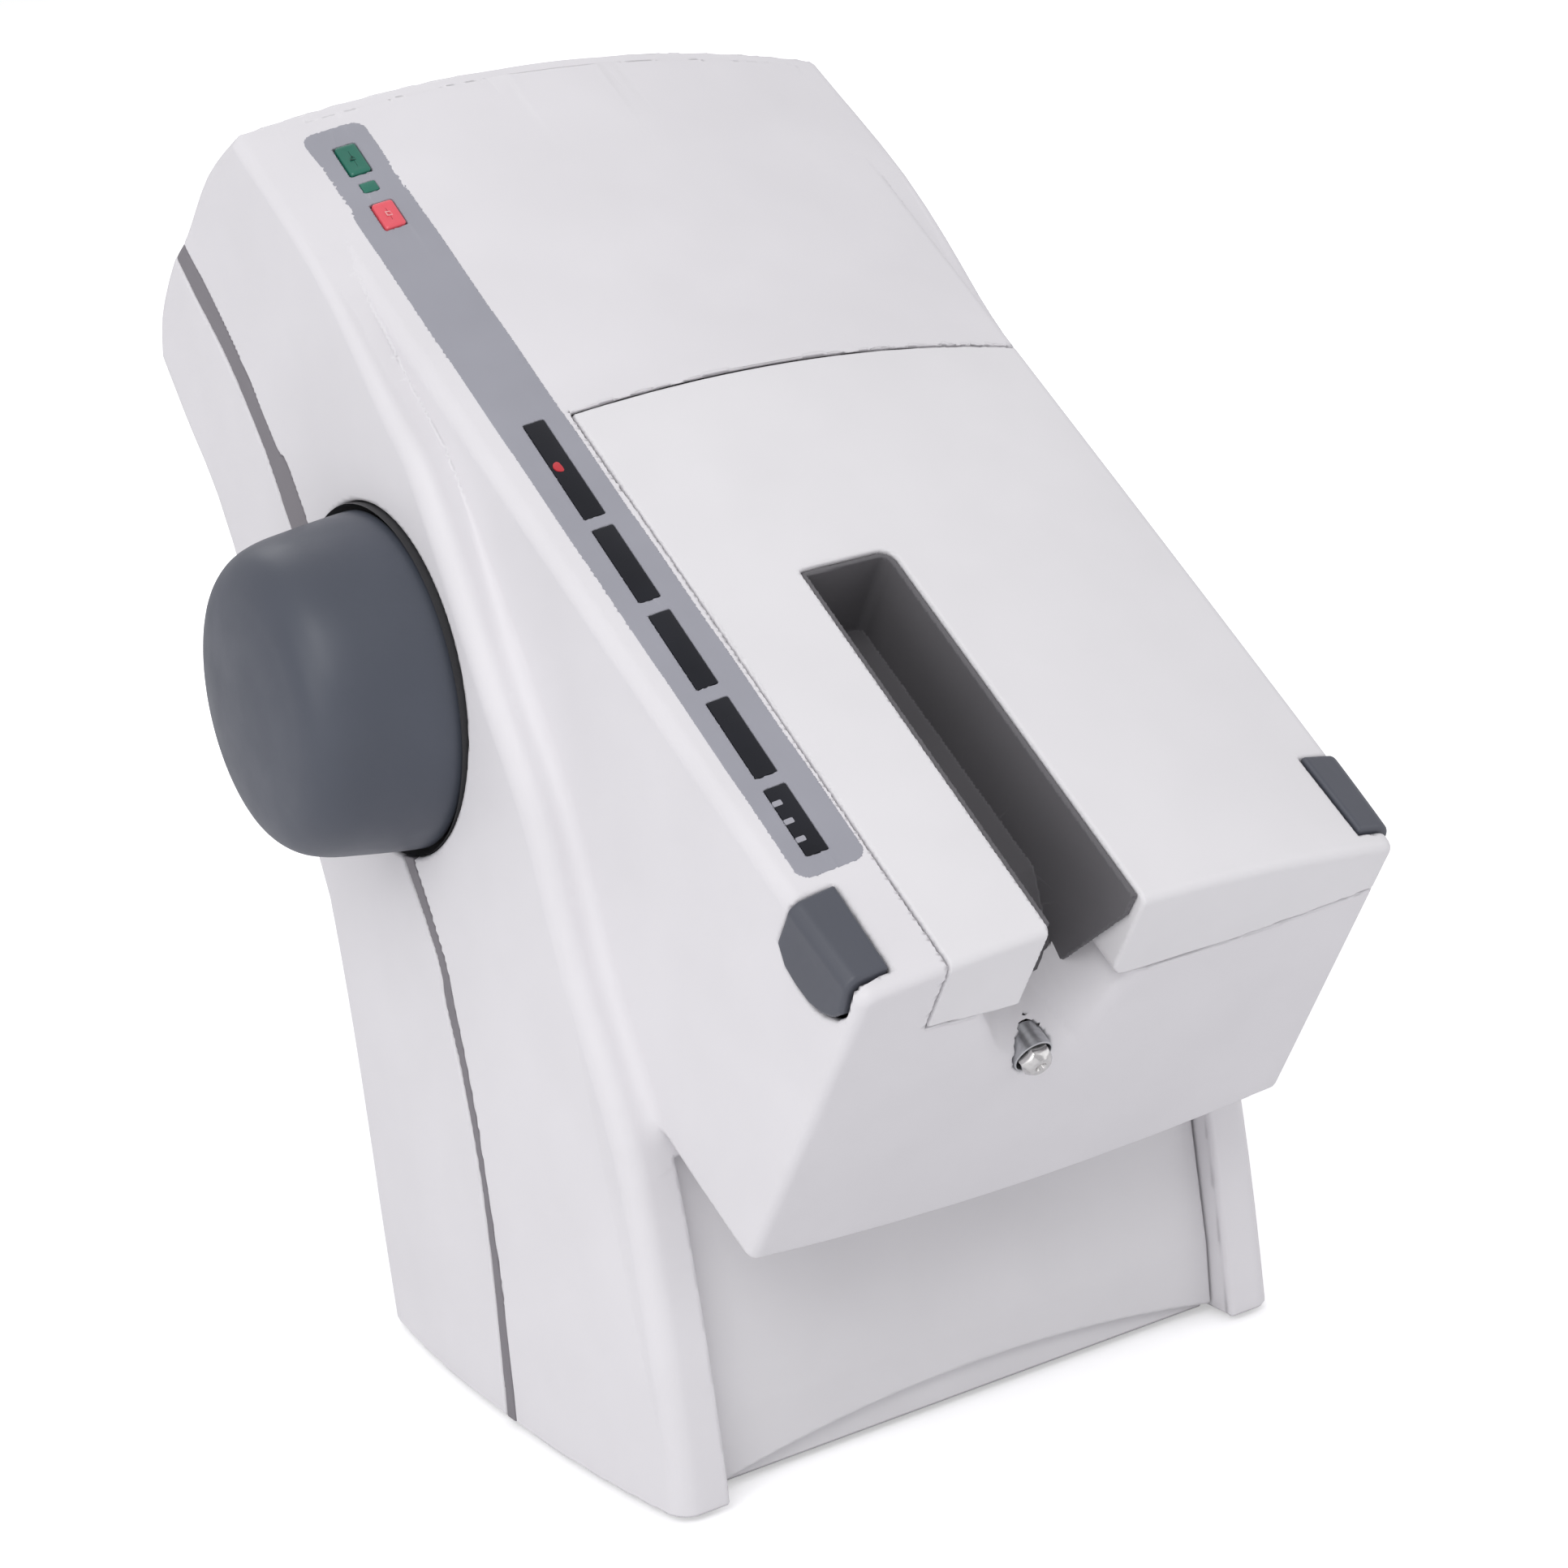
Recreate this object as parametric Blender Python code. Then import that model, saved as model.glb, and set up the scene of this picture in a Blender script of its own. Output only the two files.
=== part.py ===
"""Desktop mixing unit for dental impression material, at rest, in metres with +Z up.

The cabinet is built round two frames. The machine frame has X to the right, Y to the back and
its origin on the symmetry plane, between the front pillars. The head frame lies in the sloping
top: X to the right, Y (called s) up the slope from its front edge, Z (called n) out of it.
"""

import math

import bmesh
import bpy

MM = 0.001

# Place of the machine frame in the shared frame, whose origin is the middle of the footprint.
MACHINE_X = 17.33
MACHINE_Y = -82.7
MACHINE_Z = 2.0

# Sloping head.
SLOPE = math.radians(35.8)
HEAD_Y = -84.5
HEAD_Z = 153.0
HEAD_LENGTH = 316.0
HEAD_DEPTH = 97.8
HEAD_BELLY = 6.5
HEAD_HALF_FRONT = 77.1
HEAD_HALF_GAIN = 7.0
HEAD_GAIN_AT = 235.0
HEAD_LEAN = 4.1
HEAD_EDGE = 3.5
HEAD_LOWER_EDGE = 2.0
NOSE_EDGE = 2.0
NOSE_DRAW = 50.0
CROWN_FRONT = 7.8
CROWN_GAIN = 5.2
CROWN_AT = 320.0
CROWN_HALF_FRONT = 77.5
CROWN_HALF_GAIN = 15.5

# Body behind and below the head, as a side outline (y, z).
BODY_FRONT = [(-2.4, -40), (-2.4, 2), (1.6, 55), (8.9, 96.4), (25.9, 136.9), (38.5, 176.6),
              (53.5, 205.7), (79, 255.2), (98, 275.4), (131.2, 308.6), (175, 340)]
BODY_TOP = [(175, 340), (198.5, 329.7), (219.5, 313), (232.5, 305), (247.9, 289.2), (253.5, 275.4)]
BODY_REAR = [(253.5, 275.4), (241.7, 257.5), (218, 223), (179.6, 136.3), (174.5, 122.9),
             (170.2, 92.2), (168.4, 60.4), (168.3, 30), (168.3, -40)]
REAR_FACE = 168.3
BODY_HALF = 95.2
BODY_TAPER = 2.2
BODY_BULGE = 6.6
BODY_BULGE_TOP = 300.0
BODY_EDGE = 6.0
SIDE_TAPER = 0.02
SIDE_FLAT = 0.4
SIDE_FLAT_END = 0.75
BODY_HEIGHT = 341.0
BODY_LENGTH = 169.5
BODY_LEAN = 0.22
WALL = 3.0

# Grey ribbon between front and rear housing: its front and its rear edge, as (y, z).
SEAM_FRONT = [(77.4, -60), (77.5, 22.3), (79.8, 56.4), (84.1, 87.2), (90.2, 115.1), (98.9, 137.8),
              (156.9, 242), (169.9, 256.1), (187.2, 276.7), (205.4, 295.2), (218.9, 307.2),
              (249, 334)]
SEAM_REAR = [(83.2, -60), (83, 20.4), (83.8, 55.2), (88, 86.2), (95.7, 113.8), (104, 136.7),
             (169.3, 238.4), (181.3, 256.8), (198.9, 277.4), (217.8, 294.5), (224.8, 301.3),
             (256, 331)]
FIT_GAP = 0.3

# Flap over the cartridge bay.
FLAP_LEFT = -55.6
FLAP_REAR = 188.2
FLAP_WALL = 3.0
FLAP_AXIS_S = 173.2
FLAP_AXIS_N = -5.0
FLAP_SKIRT = 15.0
FLAP_SKIRT_BELLY = 5.5
FLAP_GAP = 0.5
SLOT_LEFT = -28.7
SLOT_RIGHT = -2.4
SLOT_REAR = 120.0
SLOT_CORNER = 4.0

# Release levers over the front corners.
LEVER_INNER = 68.2
LEVER_PIN = (68.5, -4.2)

# Control strip, on the left of the top.
STRIP = (-76.6, -57.6, 35.2, 311.0)
STRIP_THICK = 1.2
KEY_X = (-71.2, -65.5)
START_KEY = (291.4, 303.0)
STOP_KEY = (268.8, 278.8)
STATUS_LENS = (-70.7, -66.5, 283.8, 287.6)
WINDOWS = [(154.8, 189.8), (125.0, 150.8), (95.1, 120.5), (65.7, 90.6), (41.0, 62.0)]
WINDOW_X = (-69.6, -64.0)

# Drive: cross shaft of the handwheel, plungers with racks, mixing shaft and motor.
WHEEL_Y = 114.5
WHEEL_Z = 199.5
WHEEL_RADIUS = 46.6
WHEEL_OUT = -136.0
WHEEL_FACE = 27.5
WHEEL_FILLET = 16.0
WELL_RADIUS = 49.2
RACK_MODULE = 2.5
PINION_TEETH = 12
PINION_WIDTH = 8.0
BASE_X = 22.0
CATALYST_X = -42.0
PLUNGER_N = -34.0
PLUNGER_FRONT = 156.0
PLUNGER_THICK = 7.0
BASE_RADIUS = 27.0
CATALYST_RADIUS = 16.0
RACK_TEETH = 16
RACK_HEIGHT = 14.0
SHAFT_X = -16.2
SHAFT_N = -44.3
SHAFT_TIP = -3.0
SHAFT_RADIUS = 4.5
DRIVE_MODULE = 1.5
DRIVE_TEETH = 26
MOTOR_TEETH = 12
GEAR_S = 206.0
GEAR_WIDTH = 8.0

WHITE = ((0.72, 0.71, 0.73), 0.38, 0.0)
DARK = ((0.085, 0.092, 0.110), 0.45, 0.0)
BAY_GREY = ((0.075, 0.072, 0.076), 0.6, 0.0)
STRIP_GREY = ((0.38, 0.38, 0.42), 0.4, 0.0)
TRIM_GREY = ((0.22, 0.20, 0.22), 0.5, 0.0)
WINDOW_BLACK = ((0.02, 0.02, 0.025), 0.15, 0.0)
GREEN = ((0.02, 0.18, 0.13), 0.4, 0.0)
RED = ((0.80, 0.13, 0.15), 0.4, 0.0)
STEEL = ((0.62, 0.62, 0.64), 0.28, 1.0)
RUBBER = ((0.03, 0.03, 0.03), 0.8, 0.0)
BLACK = ((0.03, 0.03, 0.032), 0.5, 0.0)
BOARD_GREEN = ((0.03, 0.16, 0.07), 0.5, 0.0)


# ---------------------------------------------------------------- scene and mesh helpers

def clear_scene():
    for obj in list(bpy.data.objects):
        bpy.data.objects.remove(obj, do_unlink=True)


def add_frame(name, location, slope=0.0, parent=None):
    """An empty, placed in millimetres, that carries the pieces of one frame."""
    frame = bpy.data.objects.new(name, None)
    frame.location = [value * MM for value in location]
    frame.rotation_euler = (slope, 0.0, 0.0)
    frame.parent = parent
    bpy.context.scene.collection.objects.link(frame)
    return frame


def add_material(name, finish):
    color, roughness, metallic = finish
    material = bpy.data.materials.new(name)
    material.use_nodes = True
    shader = material.node_tree.nodes["Principled BSDF"]
    shader.inputs["Base Color"].default_value = (*color, 1.0)
    shader.inputs["Roughness"].default_value = roughness
    shader.inputs["Metallic"].default_value = metallic
    return material


def add_mesh(name, points, faces, parent, finish=None, location=(0, 0, 0)):
    """A mesh object from points in millimetres. Without a finish it is a hidden cutter."""
    shape = bmesh.new()
    verts = [shape.verts.new([value * MM for value in point]) for point in points]
    for face in faces:
        shape.faces.new([verts[index] for index in face])
    bmesh.ops.recalc_face_normals(shape, faces=shape.faces)
    mesh = bpy.data.meshes.new(name)
    shape.to_mesh(mesh)
    shape.free()
    obj = bpy.data.objects.new(name, mesh)
    obj.location = [value * MM for value in location]
    obj.parent = parent
    bpy.context.scene.collection.objects.link(obj)
    if finish is None:
        obj.hide_render = True
        obj.display_type = "WIRE"
    else:
        mesh.materials.append(add_material(name, finish))
    return obj


def combine(obj, operation, *others):
    for other in others:
        modifier = obj.modifiers.new(operation.title(), "BOOLEAN")
        modifier.operation = operation
        modifier.object = other
    return obj


def cut(obj, *cutters):
    return combine(obj, "DIFFERENCE", *cutters)


def loft(rings):
    """Points and faces of a solid through closed rings of equal length."""
    size = len(rings[0])
    points = [point for ring in rings for point in ring]
    faces = [list(range(size)), list(range(len(points) - size, len(points)))]
    for row in range(len(rings) - 1):
        for index in range(size):
            after = (index + 1) % size
            low = row * size
            faces.append([low + index, low + after, low + size + after, low + size + index])
    return points, faces


def along_x(outline, x0, x1):
    """Solid of an outline (y, z) between two x values."""
    return loft([[(x, y, z) for y, z in outline] for x in (x0, x1)])


def along_y(outline, y0, y1):
    """Solid of an outline (x, z) between two y values."""
    return loft([[(x, y, z) for x, z in outline] for y in (y0, y1)])


def along_z(outline, z0, z1):
    """Solid of an outline (x, y) between two z values."""
    return loft([[(x, y, z) for x, y in outline] for z in (z0, z1)])


def block(low, high):
    return along_z([(low[0], low[1]), (high[0], low[1]), (high[0], high[1]), (low[0], high[1])],
                   low[2], high[2])


def circle(center, radius, steps=24, start=0.0):
    turn = 2 * math.pi / steps
    return [(center[0] + radius * math.cos(start + turn * step),
             center[1] + radius * math.sin(start + turn * step)) for step in range(steps)]


def arc(center, radius, first, last, steps):
    """Points on an arc, in degrees, both ends included."""
    angles = [math.radians(first + (last - first) * step / steps) for step in range(steps + 1)]
    return [(center[0] + radius * math.cos(angle), center[1] + radius * math.sin(angle))
            for angle in angles]


def curve_through(points, steps=2):
    """A smooth curve through the points, with this many steps between two of them."""
    padded = [points[0]] + points + [points[-1]]
    found = []
    for before, start, end, after in zip(padded, padded[1:], padded[2:], padded[3:]):
        for step in range(steps):
            t = step / steps
            found.append(tuple(
                0.5 * (2 * b + (c - a) * t + (2 * a - 5 * b + 4 * c - d) * t * t
                       + (3 * b - a - 3 * c + d) * t ** 3)
                for a, b, c, d in zip(before, start, end, after)))
    return found + [points[-1]]


def inset(outline, distance):
    """A closed outline (anticlockwise) moved inwards by this distance."""
    moved = []
    for index, (x, y) in enumerate(outline):
        before = outline[index - 1]
        after = outline[(index + 1) % len(outline)]
        normals = []
        for (x0, y0), (x1, y1) in ((before, (x, y)), ((x, y), after)):
            length = math.hypot(x1 - x0, y1 - y0)
            normals.append((-(y1 - y0) / length, (x1 - x0) / length))
        (ax, ay), (bx, by) = normals
        share = distance / (1 + ax * bx + ay * by)
        moved.append((x + share * (ax + bx), y + share * (ay + by)))
    return moved


def lathe(profile, steps=32):
    """Solid of revolution about X of a profile (x, radius) that starts and ends on the axis."""
    points = [(profile[0][0], 0, 0)]
    faces = []
    turn = 2 * math.pi / steps
    for x, radius in profile[1:-1]:
        points += [(x, radius * math.cos(turn * step), radius * math.sin(turn * step))
                   for step in range(steps)]
    points.append((profile[-1][0], 0, 0))
    for step in range(steps):
        after = (step + 1) % steps
        faces.append([0, 1 + step, 1 + after])
        for row in range(len(profile) - 3):
            low = 1 + row * steps
            faces.append([low + step, low + steps + step, low + steps + after, low + after])
        last = len(points) - 1 - steps
        faces.append([last + step, len(points) - 1, last + after])
    return points, faces


def gear_outline(teeth, module, addendum, dedendum, backlash=0.25, turned=0.0):
    """Outline of an involute gear with 20 degree flanks."""
    pitch = module * teeth / 2
    base = pitch * math.cos(math.radians(20))
    half = math.pi / (2 * teeth) - backlash / (2 * pitch)
    radii = [pitch - dedendum * module, max(base, pitch - dedendum * module + 0.3), pitch,
             pitch + addendum * module]

    def flank(radius):
        angle = math.acos(min(1.0, base / radius))
        rolled = math.tan(angle) - angle
        return half + math.tan(math.radians(20)) - math.radians(20) - rolled

    outline = []
    for tooth in range(teeth):
        middle = turned + 2 * math.pi * tooth / teeth
        for side, order in ((-1, radii), (1, radii[::-1])):
            for radius in order:
                angle = middle + side * flank(radius)
                outline.append((radius * math.cos(angle), radius * math.sin(angle)))
    return outline


# ---------------------------------------------------------------- cabinet surfaces

def head_half(s):
    return HEAD_HALF_FRONT + HEAD_HALF_GAIN * (max(s, 0.0) / HEAD_GAIN_AT) ** 0.6


def crown(x, s):
    """Height of the arched top over the plane of the head frame."""
    share = min(max(s, 0.0), CROWN_AT) / CROWN_AT
    half = CROWN_HALF_FRONT + CROWN_HALF_GAIN * share
    return (CROWN_FRONT + CROWN_GAIN * share) * max(0.0, 1 - (x / half) ** 2)


def head_ring(s, shrink=0.0):
    """Cross-section of the head at s, as points of the head frame."""
    half = head_half(s) - shrink
    edge = max(HEAD_EDGE - shrink, 1.0)
    low_edge = HEAD_LOWER_EDGE
    top_half = half - edge
    ring = []
    for step in range(11):
        x = top_half * (1 - step / 5)
        ring.append((x, s, crown(x, s) - shrink))
    side_top = crown(top_half, s) - shrink - edge
    for degrees in (135, 180):
        angle = math.radians(degrees)
        ring.append((-top_half + edge * math.cos(angle), s, side_top + edge * math.sin(angle)))
    bottom = -HEAD_DEPTH + shrink
    low_half = half + HEAD_LEAN
    ring.append((-low_half, s, bottom + low_edge))
    ring.append((-low_half + low_edge, s, bottom))
    for share in (-0.5, 0.0, 0.5):
        ring.append((share * low_half, s, bottom - HEAD_BELLY * (1 - share ** 2)))
    ring.append((low_half - low_edge, s, bottom))
    ring.append((low_half, s, bottom + low_edge))
    for degrees in (0, 45):
        angle = math.radians(degrees)
        ring.append((top_half + edge * math.cos(angle), s, side_top + edge * math.sin(angle)))
    return ring


def head_solid(shrink=0.0, start=0.0, end=HEAD_LENGTH):
    stations = [start + NOSE_EDGE, 45, 95, 145, 193, 235, 275, end]
    rings = [head_ring(s, shrink) for s in stations]
    middle = -HEAD_DEPTH / 2
    nose = [(x * (1 - NOSE_EDGE / HEAD_HALF_FRONT), start, n + (middle - n) * NOSE_EDGE / NOSE_DRAW)
            for x, s, n in rings[0]]
    return loft([nose] + rings)


def to_slope(y, z):
    """The (s, n) of a point given by the machine frame's (y, z)."""
    dy = y - HEAD_Y
    dz = z - HEAD_Z
    return dy * math.cos(SLOPE) + dz * math.sin(SLOPE), dz * math.cos(SLOPE) - dy * math.sin(SLOPE)


def side_outline():
    bottom = [(y, BODY_FRONT[0][1]) for y in (30, 65, 100, 140)]
    return (curve_through(BODY_REAR[::-1])[:-1] + curve_through(BODY_TOP[::-1])[:-1]
            + curve_through(BODY_FRONT[::-1]) + bottom)


def body_half(y, z):
    """Half-width of the body at a point of its side outline, with its barrel shape."""
    height = max(z, 0.0)
    share = min(max((y - BODY_LEAN * height) / BODY_LENGTH, 0.0), 1.0)
    barrel = 1 - abs(2 * share - 1) ** 2.3
    fade = max(0.0, 1 - height / BODY_BULGE_TOP)
    return BODY_HALF - BODY_TAPER * height / BODY_HEIGHT + BODY_BULGE * barrel * fade


def body_point(x, y, z):
    """A point of the body's skin, lifted near the top by the head's crown."""
    share = min(max((z - 230.0) / 100.0, 0.0), 1.0)
    weight = share * share * (3 - 2 * share)
    lift = weight * crown(x, to_slope(y, z)[0])
    return x, y - lift * math.sin(SLOPE), z + lift * math.cos(SLOPE)


def body_solid(shrink=0.0):
    outline = inset(side_outline(), shrink) if shrink else side_outline()
    edge = max(BODY_EDGE - shrink, 2.0)
    middle = (115.0, 190.0)
    rim = inset(outline, edge)
    rings = []
    for share in (SIDE_FLAT, SIDE_FLAT_END):
        inner = [(middle[0] + (y - middle[0]) * share, middle[1] + (z - middle[1]) * share)
                 for y, z in rim]
        if share == SIDE_FLAT:
            flat = body_half(*middle) - shrink
            rings.append([(-flat + SIDE_TAPER * (z - middle[1]), y, z) for y, z in inner])
        else:
            rings.append([(-(body_half(y, z) - shrink), y, z) for y, z in inner])
    for degrees in (90, 45, 0):
        angle = math.radians(degrees)
        ring = inset(outline, max(edge * (1 - math.cos(angle)), 0.01))
        back = edge * (1 - math.sin(angle))
        rings.append([(-(body_half(*whole) - shrink - back), *point)
                      for point, whole in zip(ring, outline)])
    for x in (-70, -45, -20):
        rings.append([(x, *point) for point in outline])
    rings += [[(-x, y, z) for x, y, z in ring] for ring in rings[::-1]]
    return loft([[body_point(*point) for point in ring] for ring in rings])


def moved_line(line, offset):
    """A line (y, z) drawn as a smooth curve and moved back by offset."""
    smooth = curve_through(line)
    moved = []
    for (y0, z0), (y1, z1) in zip(smooth, smooth[1:]):
        length = math.hypot(y1 - y0, z1 - z0)
        moved.append((y0 + offset * (z1 - z0) / length, z0 - offset * (y1 - y0) / length))
    return moved + [(smooth[-1][0] + offset, smooth[-1][1])]


def seam_outline(line, front):
    """Everything in front of a seam line, or else behind it, as (y, z)."""
    edge = moved_line(line, 0.0)
    far = -200 if front else 400
    return edge + [(edge[-1][0], 420), (far, 420), (far, -90), (edge[0][0], -90)]


def top_patch(x0, x1, s0, s1, above, below, columns=4, rows=6):
    """A plate that follows the arched top, between two heights over it."""
    xs = [x0 + (x1 - x0) * column / columns for column in range(columns + 1)]
    rings = []
    for row in range(rows + 1):
        s = s0 + (s1 - s0) * row / rows
        upper = [(x, s, crown(x, s) + above) for x in xs]
        lower = [(x, s, crown(x, s) + below) for x in reversed(xs)]
        rings.append(upper + lower)
    return loft(rings)


def flap_region(grow=0.0):
    """The space the flap turns in: a slab over the skirt line that ends round the hinge axis."""
    rings = []
    right = head_half(FLAP_REAR) + 20
    left = FLAP_LEFT - grow
    for step in range(9):
        x = left + (right - left) * step / 8
        reach = min(abs(x), 80.0)
        rise = crown(reach, FLAP_REAR) - FLAP_AXIS_N
        radius = math.hypot(FLAP_REAR - FLAP_AXIS_S, rise) + grow
        skirt = -FLAP_SKIRT - FLAP_SKIRT_BELLY * (1 - (reach / 80.0) ** 2) - grow
        first = -180 + math.degrees(math.asin((FLAP_AXIS_N - skirt) / radius))
        turn = arc((FLAP_AXIS_S, FLAP_AXIS_N), radius, first, 50, 12)
        ring = [(-20, skirt)] + turn + [(FLAP_AXIS_S, 60), (-20, 60)]
        rings.append([(x, s, n) for s, n in ring])
    return loft(rings)


# ---------------------------------------------------------------- cutters

def lever_outline(grow=0.0, drop=0.0):
    """Outline (s, n) of a release lever where it wraps over the edge of the head."""
    front = [(7.6, 14), (6.2, 3), (4.4, -8.5)]
    lower = [(6.3, -11.8), (10, -14.4), (14.5, -15.7), (20, -15.8), (25.2, -15.0)]
    rear = [(30, -11.8 - drop), (30.5, 0), (32, 6), (32.3, 14)]
    return ([(s - grow, n) for s, n in front] + [(s, n - grow - drop) for s, n in lower]
            + [(s + grow, n) for s, n in rear])


def add_cutters(machine, head):
    """Hidden solids that the cabinet pieces are cut with."""
    cutters = {
        "head_inner": add_mesh("cut_head_inner", *head_solid(WALL, WALL, HEAD_LENGTH - WALL), head),
        "body_outer": add_mesh("cut_body_outer", *body_solid(), machine),
        "body_inner": add_mesh("cut_body_inner", *body_solid(WALL), machine),
        "floor": add_mesh("cut_floor", *block((-150, -60, -80), (150, 320, 0)), machine),
        "front_side": add_mesh("cut_front_side", *along_x(seam_outline(SEAM_REAR, True),
                                                          -150, 150), machine),
        "rear_side": add_mesh("cut_rear_side", *along_x(seam_outline(SEAM_FRONT, False),
                                                        -150, 150), machine),
        "well": add_mesh("cut_well", *along_x(circle((WHEEL_Y, WHEEL_Z), WELL_RADIUS, 48, 0.03),
                                             -140, -80), machine),
        "flap": add_mesh("cut_flap", *flap_region(FLAP_GAP), head),
        "strip": add_mesh("cut_strip", *top_patch(STRIP[0] - FIT_GAP, STRIP[1] + FIT_GAP,
                                                  STRIP[2] - FIT_GAP, STRIP[3] + FIT_GAP, 3.0,
                                                  -STRIP_THICK - FIT_GAP), head),
    }
    for side in (-1, 1):
        x0, x1 = sorted((side * (LEVER_INNER - 0.6), side * 100))
        cutters["lever", side] = add_mesh(f"cut_lever_{side}",
                                          *along_x(lever_outline(0.6, 1.2), x0, x1), head)
    return cutters


# ---------------------------------------------------------------- cabinet pieces

def trough_outline(front, wall=0.0):
    """The U shape (x, n) of the nozzle trough, at the front face or at its inner end."""
    if front:
        corners = [(-37.5, -14), (-35.2, -29), (-29.8, -40.7), (-22.3, -47.4), (-3, -48),
                   (1.2, -43), (2.2, -31), (4.5, -14)]
    else:
        corners = [(-31, -14), (-30.5, -26), (-28, -35), (-22, -39), (-8, -39), (-2, -35),
                   (1, -26), (2, -14)]
    middle = -18.0
    return [(x + wall * (1 if x > middle else -1), n - (wall if n < -20 else 0))
            for x, n in corners]


def add_front_housing(head, cutters, machine):
    housing = add_mesh("front_housing", *head_solid(), head, WHITE)
    combine(housing, "UNION", cutters["body_outer"])
    keys = [START_KEY, STOP_KEY]
    holes = [add_mesh(f"cut_key_{index}", *block((KEY_X[0] - 0.4, low - 0.4, -20),
                                                 (KEY_X[1] + 0.4, high + 0.4, 30)), head)
             for index, (low, high) in enumerate(keys)]
    mouth = add_mesh("cut_mouth", *along_y(trough_outline(True, 3.2), -10, 6), head)
    legs = add_mesh("cut_legs", *along_x([(-60, -40), (16, -40), (16, 96.5), (-60, 41)],
                                         -80.4, 80.4), machine)
    cut(housing, cutters["floor"], cutters["head_inner"], cutters["body_inner"],
        cutters["rear_side"], cutters["well"], cutters["flap"], cutters["strip"],
        cutters["lever", -1], cutters["lever", 1], *holes, mouth, legs)
    return housing


def add_rear_housing(machine, cutters):
    housing = add_mesh("rear_housing", *body_solid(), machine, WHITE)
    vent = add_mesh("cut_vent", *block((-34, REAR_FACE - 12, 60), (34, 260, 92)), machine)
    inlet = add_mesh("cut_inlet", *block((40.2, 150, 19.7), (68.8, 200, 42.3)), machine)
    switch = add_mesh("cut_switch", *block((-64.3, 150, 21.7), (-43.7, 200, 36.3)), machine)
    cut(housing, cutters["body_inner"], cutters["front_side"], cutters["floor"], cutters["well"],
        vent, inlet, switch)
    return housing


def add_seam_trim(machine, cutters):
    """The grey trim in two lengths: one up the left side to the wheel, one over the rest."""
    outline = moved_line(SEAM_FRONT, FIT_GAP) + moved_line(SEAM_REAR, -FIT_GAP)[::-1]
    ribbon = add_mesh("cut_ribbon", *along_x(outline, -150, 150), machine)
    lower = add_mesh("cut_lower_left", *block((-150, 40, -90), (-60, 200, WHEEL_Z - 5)), machine)
    pieces = []
    for name, operation in (("seam_trim_lower", "INTERSECT"), ("seam_trim", "DIFFERENCE")):
        trim = add_mesh(name, *body_solid(), machine, TRIM_GREY)
        cut(trim, cutters["body_inner"], cutters["floor"], cutters["well"])
        combine(trim, "INTERSECT", ribbon)
        combine(trim, operation, lower)
        pieces.append(trim)
    return pieces


def add_wheel_well(machine):
    """Dish in the left side that the handwheel turns in."""
    well = add_mesh("wheel_well", *lathe([(-93, 0), (-93, 46), (-97, WELL_RADIUS - FIT_GAP),
                                          (-88, WELL_RADIUS - FIT_GAP), (-88, 0)], 48),
                    machine, DARK, (0, WHEEL_Y, WHEEL_Z))
    bore = add_mesh("cut_well_bore", *along_x(circle((WHEEL_Y, WHEEL_Z), 9.3), -120, -60), machine)
    return cut(well, bore)


def add_front_panel(machine):
    """Panel between the pillars, leaning back, with an arched lower edge."""
    lower = [(x, 1.5 + 8.0 * (1 - (x / 80.0) ** 2)) for x in range(-80, 81, 20)]
    outline = lower + [(80, 94.0), (-80, 94.0)]
    panel = loft([[(x, 6.0 + max(z - 20, 0) * 0.09 + depth, z) for x, z in outline]
                  for depth in (0.0, 3.0)])
    return add_mesh("front_panel", *panel, machine, WHITE)


def add_base(machine):
    """Steel base plate that fills the barrel-shaped footprint, with its feet and screws."""
    depths = (12, 40, 70, 100, 130, 150, 163)
    side = [(body_half(y, 6) - WALL - 1.5, y) for y in depths]
    plate = add_mesh("base_plate", *along_z(side + [(-x, y) for x, y in side[::-1]], 5, 8), machine,
                     STEEL)
    for x, y, place in ((-70, 36, "front_left"), (70, 36, "front_right"),
                        (-70, 150, "rear_left"), (70, 150, "rear_right")):
        add_mesh(f"foot_{place}", *along_z(circle((0, 0), 9, 20), -MACHINE_Z, 4.7), machine, RUBBER, (x, y, 0))
        screw = loft([[(a, b, z) for a, b in circle((0, 0), radius, 12)]
                      for z, radius in ((2.9, 3.2), (4.7, 3.2), (4.7, 1.5), (15, 1.5))])
        place_y = y + (14 if y < 90 else -14)
        add_mesh(f"base_screw_{place}", *screw, machine, STEEL, (x, place_y, 0))
        cut(plate, add_mesh(f"cut_screw_{place}", *along_z(circle((x, place_y), 1.9, 12), 0, 10),
                            machine))
    return plate


def add_control_strip(head):
    x0, x1, s0, s1 = STRIP
    strip = add_mesh("control_strip", *top_patch(x0, x1, s0, s1, -0.05, -STRIP_THICK), head,
                     STRIP_GREY)
    openings = [(*WINDOW_X, low, high) for low, high in WINDOWS]
    openings += [(*KEY_X, *START_KEY), (*KEY_X, *STOP_KEY), STATUS_LENS]
    for index, (left, right, low, high) in enumerate(openings):
        gap = 0.3 if index < len(WINDOWS) else 0.4
        cut(strip, add_mesh(f"cut_strip_{index}", *block((left - gap, low - gap, -20),
                                                        (right + gap, high + gap, 30)), head))
    for index, (low, high) in enumerate(WINDOWS):
        add_mesh(f"window_{index + 1}", *top_patch(*WINDOW_X, low, high, -0.1, -STRIP_THICK, 2, 2),
                 head, WINDOW_BLACK)
    add_mesh("status_lens", *top_patch(*STATUS_LENS, 0.1, -STRIP_THICK, 2, 2), head, GREEN)
    return strip


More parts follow.
